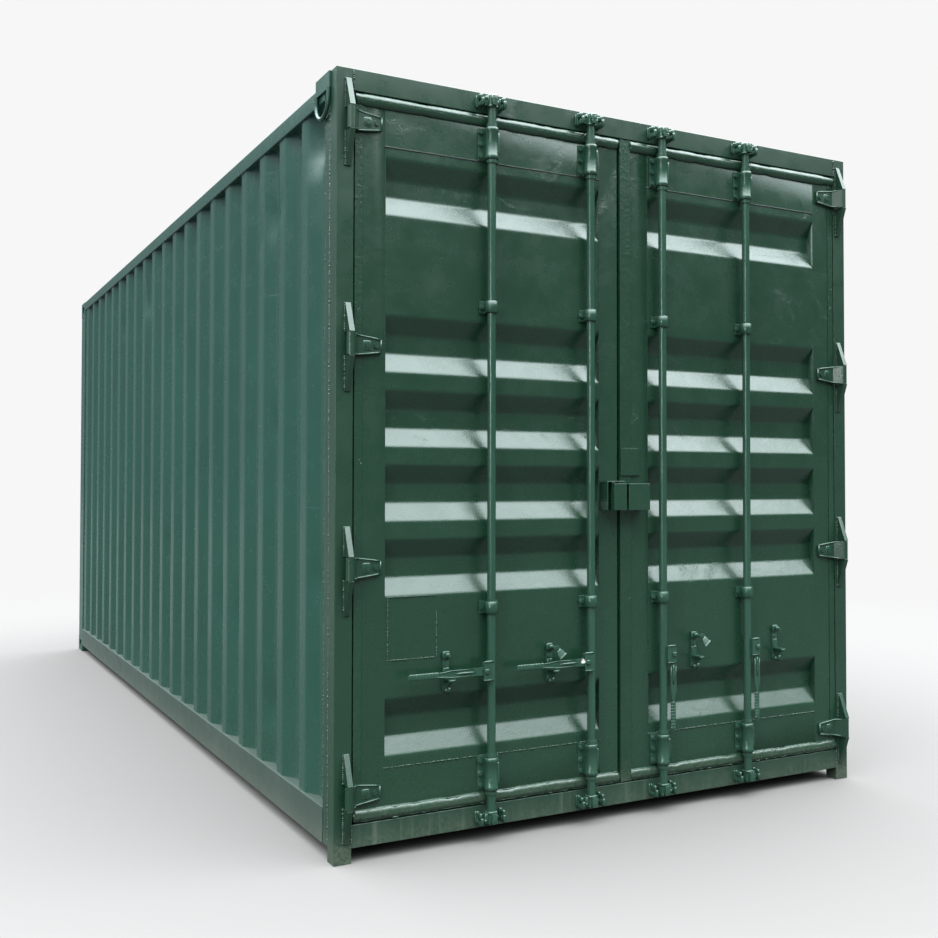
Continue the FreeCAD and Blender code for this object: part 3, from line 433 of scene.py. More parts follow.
# %% Painted rubber
def painted_rubber():
    made, tree, shader, where = blank_finish("painted_rubber")
    colour = place_group(tree, paint_drift,
            {"Where": where, "Paint": (*GREEN, 1), "Faded": (*GREEN_FADED, 1), "Cloud Scale": 4.0,
             "Amount": 0.7})["Colour"]
    cracks = wire(tree, "ShaderNodeTexVoronoi", {"Vector": stretched(tree, where, (1.0, 1.0, 0.45)), "Scale": 48.0},
                  feature="DISTANCE_TO_EDGE").outputs["Distance"]
    open_crack = minus(tree, 1.0, soft_step(tree, cracks, 0.0, 0.06))
    field = soft_step(tree, noise(tree, where, 5.0, 4.0, 0.7), 0.58, 0.7)
    missing = times(tree, open_crack, field)
    flaked = place_group(tree, chips, {"Where": where, "Size Scale": 18.0, "Amount": 0.45})["Mask"]
    missing = maths(tree, "MAXIMUM", missing, flaked)
    colour = mixed(tree, missing, colour, (0.006, 0.008, 0.007, 1))
    dust = place_group(tree, ground_dust, {"Where": where, "Top": 0.25, "Fade": 0.2, "Amount": 0.5})["Mask"]
    colour = mixed(tree, dust, colour, DUST)
    tree.links.new(colour, shader.inputs["Base Color"])
    tree.links.new(plus(tree, 0.24, times(tree, missing, 0.4)), shader.inputs["Roughness"])
    lumps = minus(tree, noise(tree, where, 70.0, 4.0, 0.6), missing)
    bumped(tree, shader, lumps, 0.6, 0.003)
    return made


seal_finish = painted_rubber()
print("finish:", seal_finish.name)

# %% [markdown]
# The floor is plywood in sheets laid across the joists, oiled and scuffed by pallets. Only an
# open door shows it, but the part is seen with its doors open too.

# %% Plywood
def plywood():
    made, tree, shader, where = blank_finish("floor_plywood")
    sheets = wire(tree, "ShaderNodeTexBrick",
                  {"Vector": where, "Color1": (0.085, 0.047, 0.024, 1), "Color2": (0.12, 0.07, 0.036, 1),
                   "Mortar": (0.02, 0.012, 0.008, 1), "Scale": 1.0, "Mortar Size": 0.002, "Brick Width": 1.16,
                   "Row Height": 1.2}, offset=0.0)
    fibres = noise(tree, stretched(tree, where, (90.0, 3.0, 3.0)), 1.0, 6.0, 0.65, 0.8)
    colour = mixed(tree, times(tree, soft_step(tree, fibres, 0.35, 0.7), 0.6), sheets.outputs["Color"],
                   (0.035, 0.02, 0.011, 1))
    scuff = soft_step(tree, noise(tree, stretched(tree, where, (9.0, 1.0, 1.0)), 1.0, 5.0, 0.7), 0.5, 0.7)
    colour = mixed(tree, times(tree, scuff, 0.35), colour, (0.15, 0.125, 0.095, 1))
    tree.links.new(colour, shader.inputs["Base Color"])
    tree.links.new(plus(tree, 0.5, times(tree, scuff, 0.25)), shader.inputs["Roughness"])
    bumped(tree, shader, fibres, 0.3, 0.001)
    return made


floor_finish = plywood()
paint_under = painted_steel("paint_under", (0.012, 0.013, 0.012), (0.022, 0.022, 0.02), dust=0.5, dust_top=0.3,
        chip=0.7, rust_top=0.6, sheen=0.6)
print("finishes:", floor_finish.name, paint_under.name)

# %% [markdown]
# ## Dressing the steel
# Tubes and plates come from the frame with knife-sharp edges. Real ones have a small round that
# catches the light, so each carried-over part is welded into one skin, its sharp edges bevelled,
# and its flat faces kept flat with weighted normals.

# %% Finishes on the frame's own parts
def dress(name, finish, edge=0.002, steps=2):
    """A finish and a small round on the edges of a part of the frame."""
    part = nodes[name]
    part.data.materials.clear()
    part.data.materials.append(finish)
    if edge:
        part.modifiers.new("one_skin", "WELD").merge_threshold = 0.00002
        bevel = part.modifiers.new("edge_round", "BEVEL")
        bevel.width = edge
        bevel.segments = steps
        bevel.limit_method = "ANGLE"
        bevel.angle_limit = math.radians(35)
        bevel.harden_normals = False
        part.modifiers.new("flat_faces", "WEIGHTED_NORMAL").keep_sharp = False
    for face in part.data.polygons:
        face.use_smooth = True


dress("door_sill", paint_sill, 0.0025)
for name in ("front_posts", "door_header", "hinge_lugs", "cam_keepers", "door_stops", "header_beam", "sill_beam"):
    dress(name, paint_frame, 0.0025)
for name in ("rear_posts", "rear_rails", "top_rails"):
    dress(name, paint_wall, 0.003)
dress("rear_castings", paint_wall, 0.006, 3)
dress("bottom_rails", paint_rail, 0.0015)
dress("lifting_eyes", paint_wall, 0.001)
dress("floor_boards", floor_finish, 0.0)
dress("cross_members", paint_under, 0.001)
for side in ("left", "right"):
    dress(side + "_door_frame", paint_door, 0.003)
    dress(side + "_hinge_blades", paint_frame, 0.0015)
    dress(side + "_rod_brackets", paint_gear, 0.001)
    dress(side + "_handle_retainers", paint_gear, 0.001)
    dress(side + "_catch", paint_gear, 0.001)
    dress(side + "_lock_box", paint_door, 0.0015)
    dress(side + "_door_seal", seal_finish, 0.003)
    for place in ("inner", "outer"):
        dress(side + "_" + place + "_rod", paint_gear, 0.0012)
        dress(side + "_" + place + "_handle", paint_gear, 0.0015)
dress("cover_plate", paint_door, 0.0015)
print("dressed", len(nodes), "parts of the frame")

# %% [markdown]
# ## Pressed sheets
# Walls, roof, end and door skins are thin steel pressed into channels. A cube with grooves would
# show hard lines; real bends are soft, and a big sheet is never quite flat. A Geometry Nodes tree
# takes the outline of the pressing as a chain of points, rounds its corners, spreads a fine grid
# along it and across it, and adds a slow waviness. One tree makes all six sheets.

# %% The sheet tree
def geometry_tree(name, inputs):
    tree = bpy.data.node_groups.new(name, "GeometryNodeTree")
    tree.is_modifier = True
    kinds = {"value": "NodeSocketFloat", "whole": "NodeSocketInt", "vector": "NodeSocketVector",
             "material": "NodeSocketMaterial"}
    tree.interface.new_socket(name="Geometry", in_out="INPUT", socket_type="NodeSocketGeometry")
    for label, kind in inputs:
        tree.interface.new_socket(name=label, in_out="INPUT", socket_type=kinds[kind])
    tree.interface.new_socket(name="Geometry", in_out="OUTPUT", socket_type="NodeSocketGeometry")
    return tree, tree.nodes.new("NodeGroupInput").outputs, tree.nodes.new("NodeGroupOutput").inputs[0]


def tree_out(tree, pieces, finish, result):
    """The last steps of every tree: instances made real, and given their finish."""
    whole = wire(tree, "GeometryNodeRealizeInstances", {0: pieces}).outputs[0]
    finished = wire(tree, "GeometryNodeSetMaterial", {"Geometry": whole, "Material": finish}).outputs[0]
    tree.links.new(finished, result)


sheet_tree, given, result = geometry_tree(
    "pressed_sheet", [("Bend Radius", "value"), ("Steps Along", "whole"), ("Steps Across", "whole"),
                      ("Across", "vector"), ("Waviness", "value"), ("Seed", "value"), ("Material", "material")])
outline = wire(sheet_tree, "GeometryNodeMeshToCurve", {"Mesh": given["Geometry"]}).outputs[0]
bent = wire(sheet_tree, "GeometryNodeFilletCurve",
            {"Curve": outline, "Count": 4, "Radius": given["Bend Radius"], "Limit Radius": True},
            mode="POLY").outputs[0]
grid = wire(sheet_tree, "GeometryNodeMeshGrid",
            {"Size X": 1.0, "Size Y": 1.0, "Vertices X": given["Steps Along"],
             "Vertices Y": given["Steps Across"]}).outputs["Mesh"]
spot = wire(sheet_tree, "ShaderNodeSeparateXYZ", {0: wire(sheet_tree, "GeometryNodeInputPosition").outputs[0]})
along = plus(sheet_tree, spot.outputs["X"], 0.5, clamp=True)
across = plus(sheet_tree, spot.outputs["Y"], 0.5, clamp=True)
sample = wire(sheet_tree, "GeometryNodeSampleCurve", {"Curves": bent, "Factor": along}, mode="FACTOR",
              use_all_curves=True)
reach = vectors(sheet_tree, "SCALE", given["Across"], across)
place = vectors(sheet_tree, "ADD", sample.outputs["Position"], reach)
out = vectors(sheet_tree, "CROSS_PRODUCT", sample.outputs["Tangent"], given["Across"])
out = vectors(sheet_tree, "NORMALIZE", out)
slow = wire(sheet_tree, "ShaderNodeTexNoise", {"Vector": place, "W": given["Seed"], "Scale": 1.6, "Detail": 2.0},
            noise_dimensions="4D").outputs["Fac"]
swell = times(sheet_tree, minus(sheet_tree, slow, 0.55), given["Waviness"])
swell = maths(sheet_tree, "MINIMUM", swell, 0.0)
lift = vectors(sheet_tree, "SCALE", out, swell)
place = vectors(sheet_tree, "ADD", place, lift)
laid = wire(sheet_tree, "GeometryNodeSetPosition", {"Geometry": grid, "Position": place}).outputs[0]
tree_out(sheet_tree, laid, given["Material"], result)
print("tree:", sheet_tree.name)


# %% [markdown]
# A tree works on an object through a modifier. The inputs are set by the identifiers of their
# sockets, the evaluated result is copied into a plain mesh, and that mesh is the finished piece,
# so nothing live is left when it is given to a body of the frame.

# %% Growing a piece from a tree
def new_object(name, data):
    made = bpy.data.objects.new(name, data)
    bpy.context.scene.collection.objects.link(made)
    return made


def grown(name, seed_mesh, tree, values):
    """The plain mesh that a tree makes from a seed mesh."""
    source = new_object(name + ".seed", seed_mesh)
    modifier = source.modifiers.new("grow", "NODES")
    modifier.node_group = tree
    for item in tree.interface.items_tree:
        if item.item_type == "SOCKET" and item.in_out == "INPUT" and item.name in values:
            modifier[item.identifier] = values[item.name]
    source.update_tag()
    view = bpy.context.evaluated_depsgraph_get()
    view.update()
    mesh = bpy.data.meshes.new_from_object(source.evaluated_get(view), depsgraph=view)
    mesh.name = name
    bpy.data.objects.remove(source)
    return mesh


def finish_piece(name, mesh, body, stands_for=(), smooth=True):
    """Makes the object, gives it to a body and counts its faces."""
    made = new_object(name, mesh)
    for face in mesh.polygons:
        face.use_smooth = smooth
    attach(made, body)
    if stands_for:
        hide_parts(*stands_for)
    print("%-26s %7d faces on %s" % (name, len(mesh.polygons), body))
    return made


def chain(name, points):
    """Points joined one to the next, as a mesh of edges."""
    mesh = bpy.data.meshes.new(name)
    mesh.from_pydata([tuple(p) for p in points], [(i, i + 1) for i in range(len(points) - 1)], [])
    return mesh


SHEET = 0.002
DENT_DEPTH = 1.15


def with_thickness(mesh, inside):
    """The sheet gets its back and its edges; inside says which faces to leave out."""
    work = bmesh.new()
    work.from_mesh(mesh)
    if inside:
        gone = [face for face in work.faces if inside(face.calc_center_median())]
        bmesh.ops.delete(work, geom=gone, context="FACES")
    front = list(work.faces)
    edges = [edge for edge in work.edges if edge.is_boundary]
    copy = bmesh.ops.duplicate(work, geom=work.verts[:] + work.edges[:] + front)
    pair = copy["vert_map"]
    work.normal_update()
    offsets = {v: v.normal.copy() for v in work.verts}
    for vert in {v for face in front for v in face.verts}:
        pair[vert].co = vert.co - offsets[vert] * SHEET
    back = [item for item in copy["geom"] if isinstance(item, bmesh.types.BMFace)]
    bmesh.ops.reverse_faces(work, faces=back)
    for edge in edges:
        a, b = edge.verts
        loop = edge.link_loops[0]
        if loop.vert is not a:
            a, b = b, a
        rim = work.faces.new((b, a, pair[a], pair[b]))
        for line in rim.edges:
            line.smooth = False
    work.to_mesh(mesh)
    work.free()
    return mesh


# %% [markdown]
# ### The side walls
# Twenty channels run from rail to rail. The walls have been leaned on, bumped and pushed from
# inside, which leaves shallow dents on the proud faces. A dent is a soft pit, longer than wide,
# with a crease at one end, so it is pressed into the grid of the finished sheet.

# %% Side walls
def trapezoids(start, end, first, count, pitch, slope, flat, depth):
    """(along, in) corners of a sheet with evenly spaced channels."""
    corners = [(start, 0.0)]
    for index in range(count):
        at = first + index * pitch
        corners += [(at, 0.0), (at + slope, depth), (at + pitch - flat - slope, depth), (at + pitch - flat, 0.0)]
    return corners + [(end, 0.0)]


def knock(mesh, dents, axis, sign):
    """Presses soft pits into the sheet: (along, up, half width, half height, depth) each."""
    count = len(mesh.vertices)
    spots = np.empty(count * 3)
    mesh.vertices.foreach_get("co", spots)
    spots = spots.reshape(-1, 3)
    run = 1 - axis
    for along, up, wide, tall, depth in dents:
        u = (spots[:, run] - along) / wide
        v = (spots[:, 2] - up) / tall
        v = np.where(v > 0, v * 0.6, v * 1.9)
        spots[:, axis] -= sign * DENT_DEPTH * depth * np.exp(-(u * u + v * v) * 1.4)
    mesh.vertices.foreach_set("co", spots.ravel())
    mesh.update()


low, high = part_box("side_wall_left")
WALL_X = -low.x
CHANNELS, PITCH, SLOPE, FLAT, DEEP = 20, 0.285, 0.068, 0.074, 0.036
wall_corners = trapezoids(low.y, high.y, low.y + 0.008, CHANNELS, PITCH, SLOPE, FLAT, DEEP)
left_dents = [(0.30, 2.59, 0.06, 0.12, 0.022), (0.67, 2.45, 0.04, 0.05, 0.010), (0.86, 2.42, 0.05, 0.07, 0.012),
              (0.95, 2.38, 0.03, 0.05, 0.010), (1.38, 2.30, 0.04, 0.09, 0.012), (3.46, 2.43, 0.06, 0.10, 0.016),
              (4.27, 2.38, 0.05, 0.08, 0.012), (4.2, 1.96, 0.05, 0.06, 0.010), (0.83, 1.56, 0.04, 0.06, 0.010),
              (2.25, 1.41, 0.05, 0.07, 0.012), (1.93, 1.41, 0.05, 0.07, 0.011), (2.5, 1.0, 0.06, 0.09, 0.014),
              (2.83, 0.96, 0.05, 0.07, 0.012), (1.65, 0.72, 0.06, 0.12, 0.018), (1.38, 0.72, 0.05, 0.08, 0.014),
              (0.29, 0.95, 0.05, 0.06, 0.010), (0.86, 0.38, 0.05, 0.07, 0.012)]
chance = random.Random(7)
right_dents = [(chance.uniform(0.3, 5.6), chance.uniform(0.4, 2.6), 0.05, 0.08, chance.uniform(0.006, 0.014))
               for _ in range(12)]
for side, sign, dents in (("left", -1, left_dents), ("right", 1, right_dents)):
    points = [(sign * (WALL_X - deep), along, low.z) for along, deep in wall_corners]
    if sign < 0:
        points.reverse()
    mesh = grown("side_wall_" + side, chain("outline", points), sheet_tree,
                 {"Bend Radius": 0.014, "Steps Along": 700, "Steps Across": 46, "Across": (0.0, 0.0, high.z - low.z),
                  "Waviness": 0.004, "Seed": 1.0 + sign, "Material": paint_wall})
    knock(mesh, [(FRONT + along, up, wide, tall, depth) for along, up, wide, tall, depth in dents], 0, sign)
    with_thickness(mesh, None)
    finish_piece("wall_sheet_" + side, mesh, "box", ("side_wall_" + side,))

# %% [markdown]
# ### End wall and roof
# The blind end is pressed deeper and steeper than the sides, and the roof in shallow cross
# channels that shed rain. Both stop short of the corner castings, so the faces that would run
# into them are left out before the sheet gets its thickness.

# %% End wall and roof
cast_low, cast_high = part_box("rear_castings")
CAST_FRONT = cast_high.y - 0.178
CAST_IN = HALF - 0.162
CAST_UNDER = cast_high.z - 0.108


def in_casting(spot):
    return abs(spot.x) > CAST_IN and spot.y > CAST_FRONT and spot.z > CAST_UNDER


low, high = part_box("end_wall")
END_COUNT, END_PITCH, END_SLOPE, END_FLAT, END_DEEP = 8, 0.262, 0.03, 0.1, 0.044
span = END_COUNT * END_PITCH - END_FLAT
corners = trapezoids(low.x, high.x, -span / 2, END_COUNT, END_PITCH, END_SLOPE, END_FLAT, END_DEEP)
points = [(along, high.y - deep, low.z) for along, deep in corners]
points.reverse()
mesh = grown("end_wall", chain("outline", points), sheet_tree,
             {"Bend Radius": 0.01, "Steps Along": 360, "Steps Across": 100, "Across": (0.0, 0.0, high.z - low.z),
              "Waviness": 0.004, "Seed": 5.0, "Material": paint_wall})
with_thickness(mesh, in_casting)
finish_piece("end_sheet", mesh, "box", ("end_wall",))

low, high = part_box("roof_panel")
length = high.y - low.y
ROOF_PITCH, ROOF_SLOPE, ROOF_FLAT, ROOF_DEEP = 0.209, 0.014, 0.091, 0.02
count = int((length - ROOF_FLAT) // ROOF_PITCH)
first = low.y + (length - count * ROOF_PITCH + ROOF_FLAT) / 2
corners = trapezoids(low.y, high.y, first, count, ROOF_PITCH, ROOF_SLOPE, ROOF_FLAT, ROOF_DEEP)
points = [(low.x, along, high.z - deep) for along, deep in corners]
points.reverse()
mesh = grown("roof", chain("outline", points), sheet_tree,
             {"Bend Radius": 0.008, "Steps Along": 760, "Steps Across": 30, "Across": (high.x - low.x, 0.0, 0.0),
              "Waviness": 0.004, "Seed": 9.0, "Material": paint_top})
with_thickness(mesh, in_casting)
finish_piece("roof_sheet", mesh, "box", ("roof_panel",))

# %% [markdown]
# ### Door skins
# Each leaf has one sheet with six channels across it, four in the middle and one near each end.
# The channels take the sky on their lower slopes and stay dark on their upper ones, which is
# what makes the doors look striped.

# %% Door skins
RECESSES = (-0.975, -0.405, -0.135, 0.135, 0.405, 0.975)
RECESS_HALF, RECESS_SLOPE, RECESS_DEEP = 0.0335, 0.069, 0.036
for side in ("left", "right"):
    low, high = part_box(side + "_door_panel")
    middle = (low.z + high.z) / 2
    corners = [(high.z, 0.0)]
    for at in reversed(RECESSES):
        top = middle + at + RECESS_HALF
        bottom = middle + at - RECESS_HALF
        corners += [(top + RECESS_SLOPE, 0.0), (top, RECESS_DEEP), (bottom, RECESS_DEEP), (bottom - RECESS_SLOPE, 0.0)]
    corners.append((low.z, 0.0))
    points = [(low.x, low.y + deep, up) for up, deep in corners]
    mesh = grown(side + "_door_skin", chain("outline", points), sheet_tree,
                 {"Bend Radius": 0.02, "Steps Along": 420, "Steps Across": 60, "Across": (high.x - low.x, 0.0, 0.0),
                  "Waviness": 0.006, "Seed": 3.0 + len(side), "Material": paint_door})
    with_thickness(mesh, None)
    finish_piece(side + "_door_skin", mesh, side + "_door", (side + "_door_panel",))

# %% [markdown]
# ## Bolts and rivets
# Brackets, hinge blades and retainers are bolted through the leaf, and every bolt was painted
# over. One tree puts a head and a washer on each point, turned to face along the vector that the
# point carries, with its own chance turn.

# %% The bolt tree
bolt_tree, given, result = geometry_tree(
    "bolts", [("Head Radius", "value"), ("Head Height", "value"), ("Washer Radius", "value"),
              ("Sides", "whole"), ("Seed", "whole"), ("Material", "material")])
head = wire(bolt_tree, "GeometryNodeMeshCylinder",
            {"Vertices": given["Sides"], "Radius": given["Head Radius"],
             "Depth": given["Head Height"]}).outputs["Mesh"]
up = wire(bolt_tree, "ShaderNodeCombineXYZ", {"Z": times(bolt_tree, given["Head Height"], 0.6)}).outputs[0]
head = wire(bolt_tree, "GeometryNodeTransform", {"Geometry": head, "Translation": up}).outputs[0]
washer = wire(bolt_tree, "GeometryNodeMeshCylinder",
              {"Vertices": 16, "Radius": given["Washer Radius"],
               "Depth": times(bolt_tree, given["Head Height"], 0.5)}).outputs["Mesh"]
both = bolt_tree.nodes.new("GeometryNodeJoinGeometry")
bolt_tree.links.new(head, both.inputs[0])
bolt_tree.links.new(washer, both.inputs[0])
facing = wire(bolt_tree, "GeometryNodeInputNamedAttribute", {"Name": "facing"}, data_type="FLOAT_VECTOR").outputs[0]
turned = wire(bolt_tree, "FunctionNodeAlignRotationToVector", {"Vector": facing}, axis="Z").outputs[0]
spin = wire(bolt_tree, "FunctionNodeRandomValue", {3: 3.0, "Seed": given["Seed"]}, data_type="FLOAT").outputs[1]
spun = wire(bolt_tree, "FunctionNodeRotateRotation",
            {0: turned, 1: wire(bolt_tree, "ShaderNodeCombineXYZ", {"Z": spin}).outputs[0]},
            rotation_space="LOCAL").outputs[0]
scatter = wire(bolt_tree, "GeometryNodeInstanceOnPoints",
               {"Points": given["Geometry"], "Instance": both.outputs[0], "Rotation": spun}).outputs[0]
tree_out(bolt_tree, scatter, given["Material"], result)


def bolt_points(name, spots):
    """A mesh of points, each with the way it faces: [(place, facing)]."""
    mesh = bpy.data.meshes.new(name)
    mesh.from_pydata([tuple(p) for p, _ in spots], [], [])
    way = mesh.attributes.new("facing", "FLOAT_VECTOR", "POINT")
    way.data.foreach_set("vector", [x for _, f in spots for x in f])
    return mesh


print("tree:", bolt_tree.name)

# %% [markdown]
# Brackets, retainers and hinge blades get their bolts at their own places, which follow from the
# joints of the rods and handles and from the height of the leaf.

# %% Bolts on the door gear
OUTWARD = (0.0, -1.0, 0.0)
FLANGE_FACE = LEAF_FACE - 0.006
frame_low, frame_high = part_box("left_door_frame")
MIDDLE = (frame_low.z + frame_high.z) / 2
HINGES = [MIDDLE + up for up in (-1.197, -0.4, 0.392, 1.193)]
LONG_BRACKETS, SHORT_BRACKETS = (-1.181, 1.181), (-0.563, 0.563)
CATCH_SIDE = 0.175
for side, sign in (("left", -1), ("right", 1)):
    spots = []
    for place in ("inner", "outer"):
        x = joint_place(side + "_" + place + "_rod_turn").x
        for up in LONG_BRACKETS:
            spots += [(Vector((x - 0.034, FLANGE_FACE, MIDDLE + up + dz)), OUTWARD) for dz in (-0.045, 0.0, 0.045)]
            spots += [(Vector((x + 0.034, FLANGE_FACE, MIDDLE + up + dz)), OUTWARD) for dz in (-0.042, 0.042)]
        for up in SHORT_BRACKETS:
            spots += [(Vector((x + dx, FLANGE_FACE, MIDDLE + up)), OUTWARD) for dx in (-0.029, 0.029)]
        catch_x = x + sign * CATCH_SIDE
        up = joint_place(side + "_" + place + "_handle_lift").z
        spots += [(Vector((catch_x, FLANGE_FACE, up + dz)), OUTWARD) for dz in (-0.055, 0.03)]
    mesh = grown(side + "_gear_bolts", bolt_points("spots", spots), bolt_tree,
                 {"Head Radius": 0.0085, "Head Height": 0.007, "Washer Radius": 0.011, "Sides": 6, "Seed": 4,
                  "Material": paint_gear})
    finish_piece(side + "_gear_bolts", mesh, side + "_door", (), smooth=False)
    spots = []
    for at in HINGES:
        spots += [(Vector((sign * x, LEAF_FACE - y, at)), OUTWARD) for x, y in ((1.103, 0.0107), (1.068, 0.0098))]
    mesh = grown(side + "_hinge_bolts", bolt_points("spots", spots), bolt_tree,
                 {"Head Radius": 0.009, "Head Height": 0.005, "Washer Radius": 0.0115, "Sides": 12, "Seed": 8,
                  "Material": paint_frame})
    finish_piece(side + "_hinge_bolts", mesh, side + "_door", (), smooth=False)

# %% [markdown]
# ## Welds
# The frame was welded by hand in the yard, and the bead down the back of each post reads as a row
# of lumps. The tree walks along a chain of points, drops a flat bead at every step, and gives
# each its own size, so the seam looks laid and not extruded.

# %% The weld tree
weld_tree, given, result = geometry_tree(
    "weld_bead", [("Bead Radius", "value"), ("Step", "value"), ("Unevenness", "value"), ("Seed", "whole"),
                  ("Material", "material")])
seam = wire(weld_tree, "GeometryNodeMeshToCurve", {"Mesh": given["Geometry"]}).outputs[0]
steps = wire(weld_tree, "GeometryNodeResampleCurve", {"Curve": seam, "Length": given["Step"]},
             mode="LENGTH").outputs[0]
steps = wire(weld_tree, "GeometryNodeCurveToPoints", {"Curve": steps}, mode="EVALUATED").outputs[0]
blob = wire(weld_tree, "GeometryNodeMeshUVSphere",
            {"Segments": 8, "Rings": 5, "Radius": given["Bead Radius"]}).outputs["Mesh"]
small = minus(weld_tree, 1.0, given["Unevenness"])
large = plus(weld_tree, 1.0, given["Unevenness"])
size = wire(weld_tree, "FunctionNodeRandomValue", {2: small, 3: large, "Seed": given["Seed"]},
            data_type="FLOAT").outputs[1]
beads = wire(weld_tree, "GeometryNodeInstanceOnPoints", {"Points": steps, "Instance": blob, "Scale": size}).outputs[0]
tree_out(weld_tree, beads, given["Material"], result)


def seams(name, lines):
    """Several seams in one mesh of edges."""
    points, edges = [], []
    for line in lines:
        edges += [(len(points) + i, len(points) + i + 1) for i in range(len(line) - 1)]
        points += [tuple(p) for p in line]
    mesh = bpy.data.meshes.new(name)
    mesh.from_pydata(points, edges, [])
    return mesh


print("tree:", weld_tree.name)

# %% [markdown]
# Seams run down the posts, beside the header and the sill, and along the hinge lugs. On the
# leaves they close the foot of each skin and outline a patch. At the head of each leaf a near-black bead is painted
# shade, the dark line under the step there.

# %% Welds on the frame and on the leaves
post_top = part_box("front_posts")[1].z
stop_low, stop_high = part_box("door_stops")
head_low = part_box("door_header")[0].z
sill_low, sill_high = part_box("door_sill")
PIN_X = abs(joint_place("left_door_hinge").x)
lines = []


def upright(x, y, foot, head):
    return [(x, y, foot), (x, y, head)]


for sign in (-1, 1):
    joint_x = sign * (POST_IN + 0.001)
    lines.append(upright(sign * (HALF - 0.002), stop_low.y, stop_low.z + 0.01, stop_high.z))
    lines.append(upright(joint_x, FRONT, head_low + 0.004, post_top - 0.012))
    lines.append(upright(joint_x, FRONT, sill_low.z + 0.004, sill_high.z - 0.004))
    lines.append([(sign * (HALF - 0.004), stop_high.y, 0.19), (sign * (HALF - 0.006), stop_high.y, 2.72)])
    for at in HINGES:
        for dx in (-0.0105, 0.0105):
            for start, end in ((0.045, 0.145), (-0.162, -0.045)):
                lines.append(upright(sign * PIN_X + dx, FRONT - 0.001, at + start, at + end))
mesh = grown("frame_welds", seams("seams", lines), weld_tree,
             {"Bead Radius": 0.0042, "Step": 0.0075, "Unevenness": 0.35, "Seed": 2, "Material": paint_frame})
finish_piece("frame_welds", mesh, "box")

for side in ("left", "right"):
    low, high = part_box(side + "_door_panel")
    # The bead at the head of the leaf is painted shade: a near-black line under the step above the skin.
    mesh = grown(side + "_shade_line",
                 seams("seams", [[(low.x, LEAF_FACE + 0.0004, high.z), (high.x, LEAF_FACE + 0.0004, high.z)]]),
                 weld_tree,
                 {"Bead Radius": 0.0032, "Step": 0.005, "Unevenness": 0.2, "Seed": 3, "Material": paint_shade})
    finish_piece(side + "_shade_line", mesh, side + "_door")
    lines = [[(low.x, LEAF_FACE, low.z), (high.x, LEAF_FACE, low.z)]]
    if side == "left":
        corners = [(-0.83, 0.925), (-1.018, 0.925), (-1.018, 0.699), (-0.825, 0.699), (-0.825, 0.87)]
        lines.append([(x, LEAF_FACE + 0.0005, z) for x, z in corners])
    mesh = grown(side + "_door_welds", seams("seams", lines), weld_tree,
                 {"Bead Radius": 0.0027, "Step": 0.0055, "Unevenness": 0.5, "Seed": 6, "Material": paint_door})
    finish_piece(side + "_door_welds", mesh, side + "_door")

# %% [markdown]
# ## Swept and forged pieces
# Two helpers make the round, uneven shapes that plates and tubes can't: a bar swept along points
# with its own radius at each, and a forged lump, a block whose edges are all round. Both vary a
# little, by a fixed seed, as hot steel and thick paint do.

# %% Sweeps and lumps
forge = random.Random(31)


def swept(work, points, radii, sides=10, deep=1.0):
    """A closed round bar along points, with its own radius at each; deep squeezes it from the front."""
    points = [Vector(p) for p in points]
    if not isinstance(radii, (list, tuple)):
        radii = [radii] * len(points)
    side, rings = None, []
    for index, spot in enumerate(points):
        ahead = (points[min(index + 1, len(points) - 1)] - points[max(index - 1, 0)]).normalized()
        side = ahead.orthogonal() if side is None else side - ahead * side.dot(ahead)
        side.normalize()
        up = ahead.cross(side)
        turns = [2 * math.pi * k / sides for k in range(sides)]
        round_it = [(side * math.cos(a) + up * math.sin(a)) * radii[index] for a in turns]
        rings.append([work.verts.new(spot + Vector((v.x, v.y * deep, v.z))) for v in round_it])
    close_rings(work, rings)


def close_rings(work, rings):
    """Skin over a row of rings, shut at both ends."""
    count = len(rings[0])
    for a, b in zip(rings, rings[1:]):
        for k in range(count):
            work.faces.new((a[k], a[(k + 1) % count], b[(k + 1) % count], b[k]))
    work.faces.new(rings[0][::-1])
    work.faces.new(rings[-1])


def sleeve(work, centre, profile, bore, sides=20):
    """A hollow upright sleeve: (height, outer radius) from foot to head, and its bore."""
    outline = list(profile) + [(profile[-1][0], bore), (profile[0][0], bore)]
    turns = [2 * math.pi * k / sides for k in range(sides)]
    rings = [[work.verts.new(Vector(centre) + Vector((r * math.cos(a), r * math.sin(a), up))) for a in turns] for up,
             r in outline]
    for a, b in zip(rings, rings[1:] + rings[:1]):
        for k in range(sides):
            work.faces.new((a[k], a[(k + 1) % sides], b[(k + 1) % sides], b[k]))


def lump(work, centre, size, uneven=0.05, sides=12, rows=7):
    """A forged block, round at every edge, centred at a place."""
    def full(value):
        return math.copysign(abs(value) ** 0.5, value)
    rings = []
    for row in range(1, rows):
        rise = -math.pi / 2 + math.pi * row / rows
        ring = []
        for k in range(sides):
            a = 2 * math.pi * (k + 0.5) / sides
            spot = Vector((full(math.cos(a)) * full(math.cos(rise)) * size[0],
                           full(math.sin(a)) * full(math.cos(rise)) * size[1], full(math.sin(rise)) * size[2]))
            ring.append(work.verts.new(Vector(centre) + spot * 0.5 * forge.uniform(1 - uneven, 1 + uneven)))
        rings.append(ring)
    close_rings(work, rings)


def made_piece(name, work, body, finish, stands_for=()):
    """The finished piece from what was swept and forged."""
    mesh = bpy.data.meshes.new(name)
    work.to_mesh(mesh)
    work.free()
    mesh.materials.append(finish)
    return finish_piece(name, mesh, body, stands_for)


# %% [markdown]
# ### Seal beads
# The fat rubber bead at the head and the foot of each leaf swells and pinches where it has been
# caught. At the foot, paint has bridged from the rubber to the sill and torn into a ragged ridge.

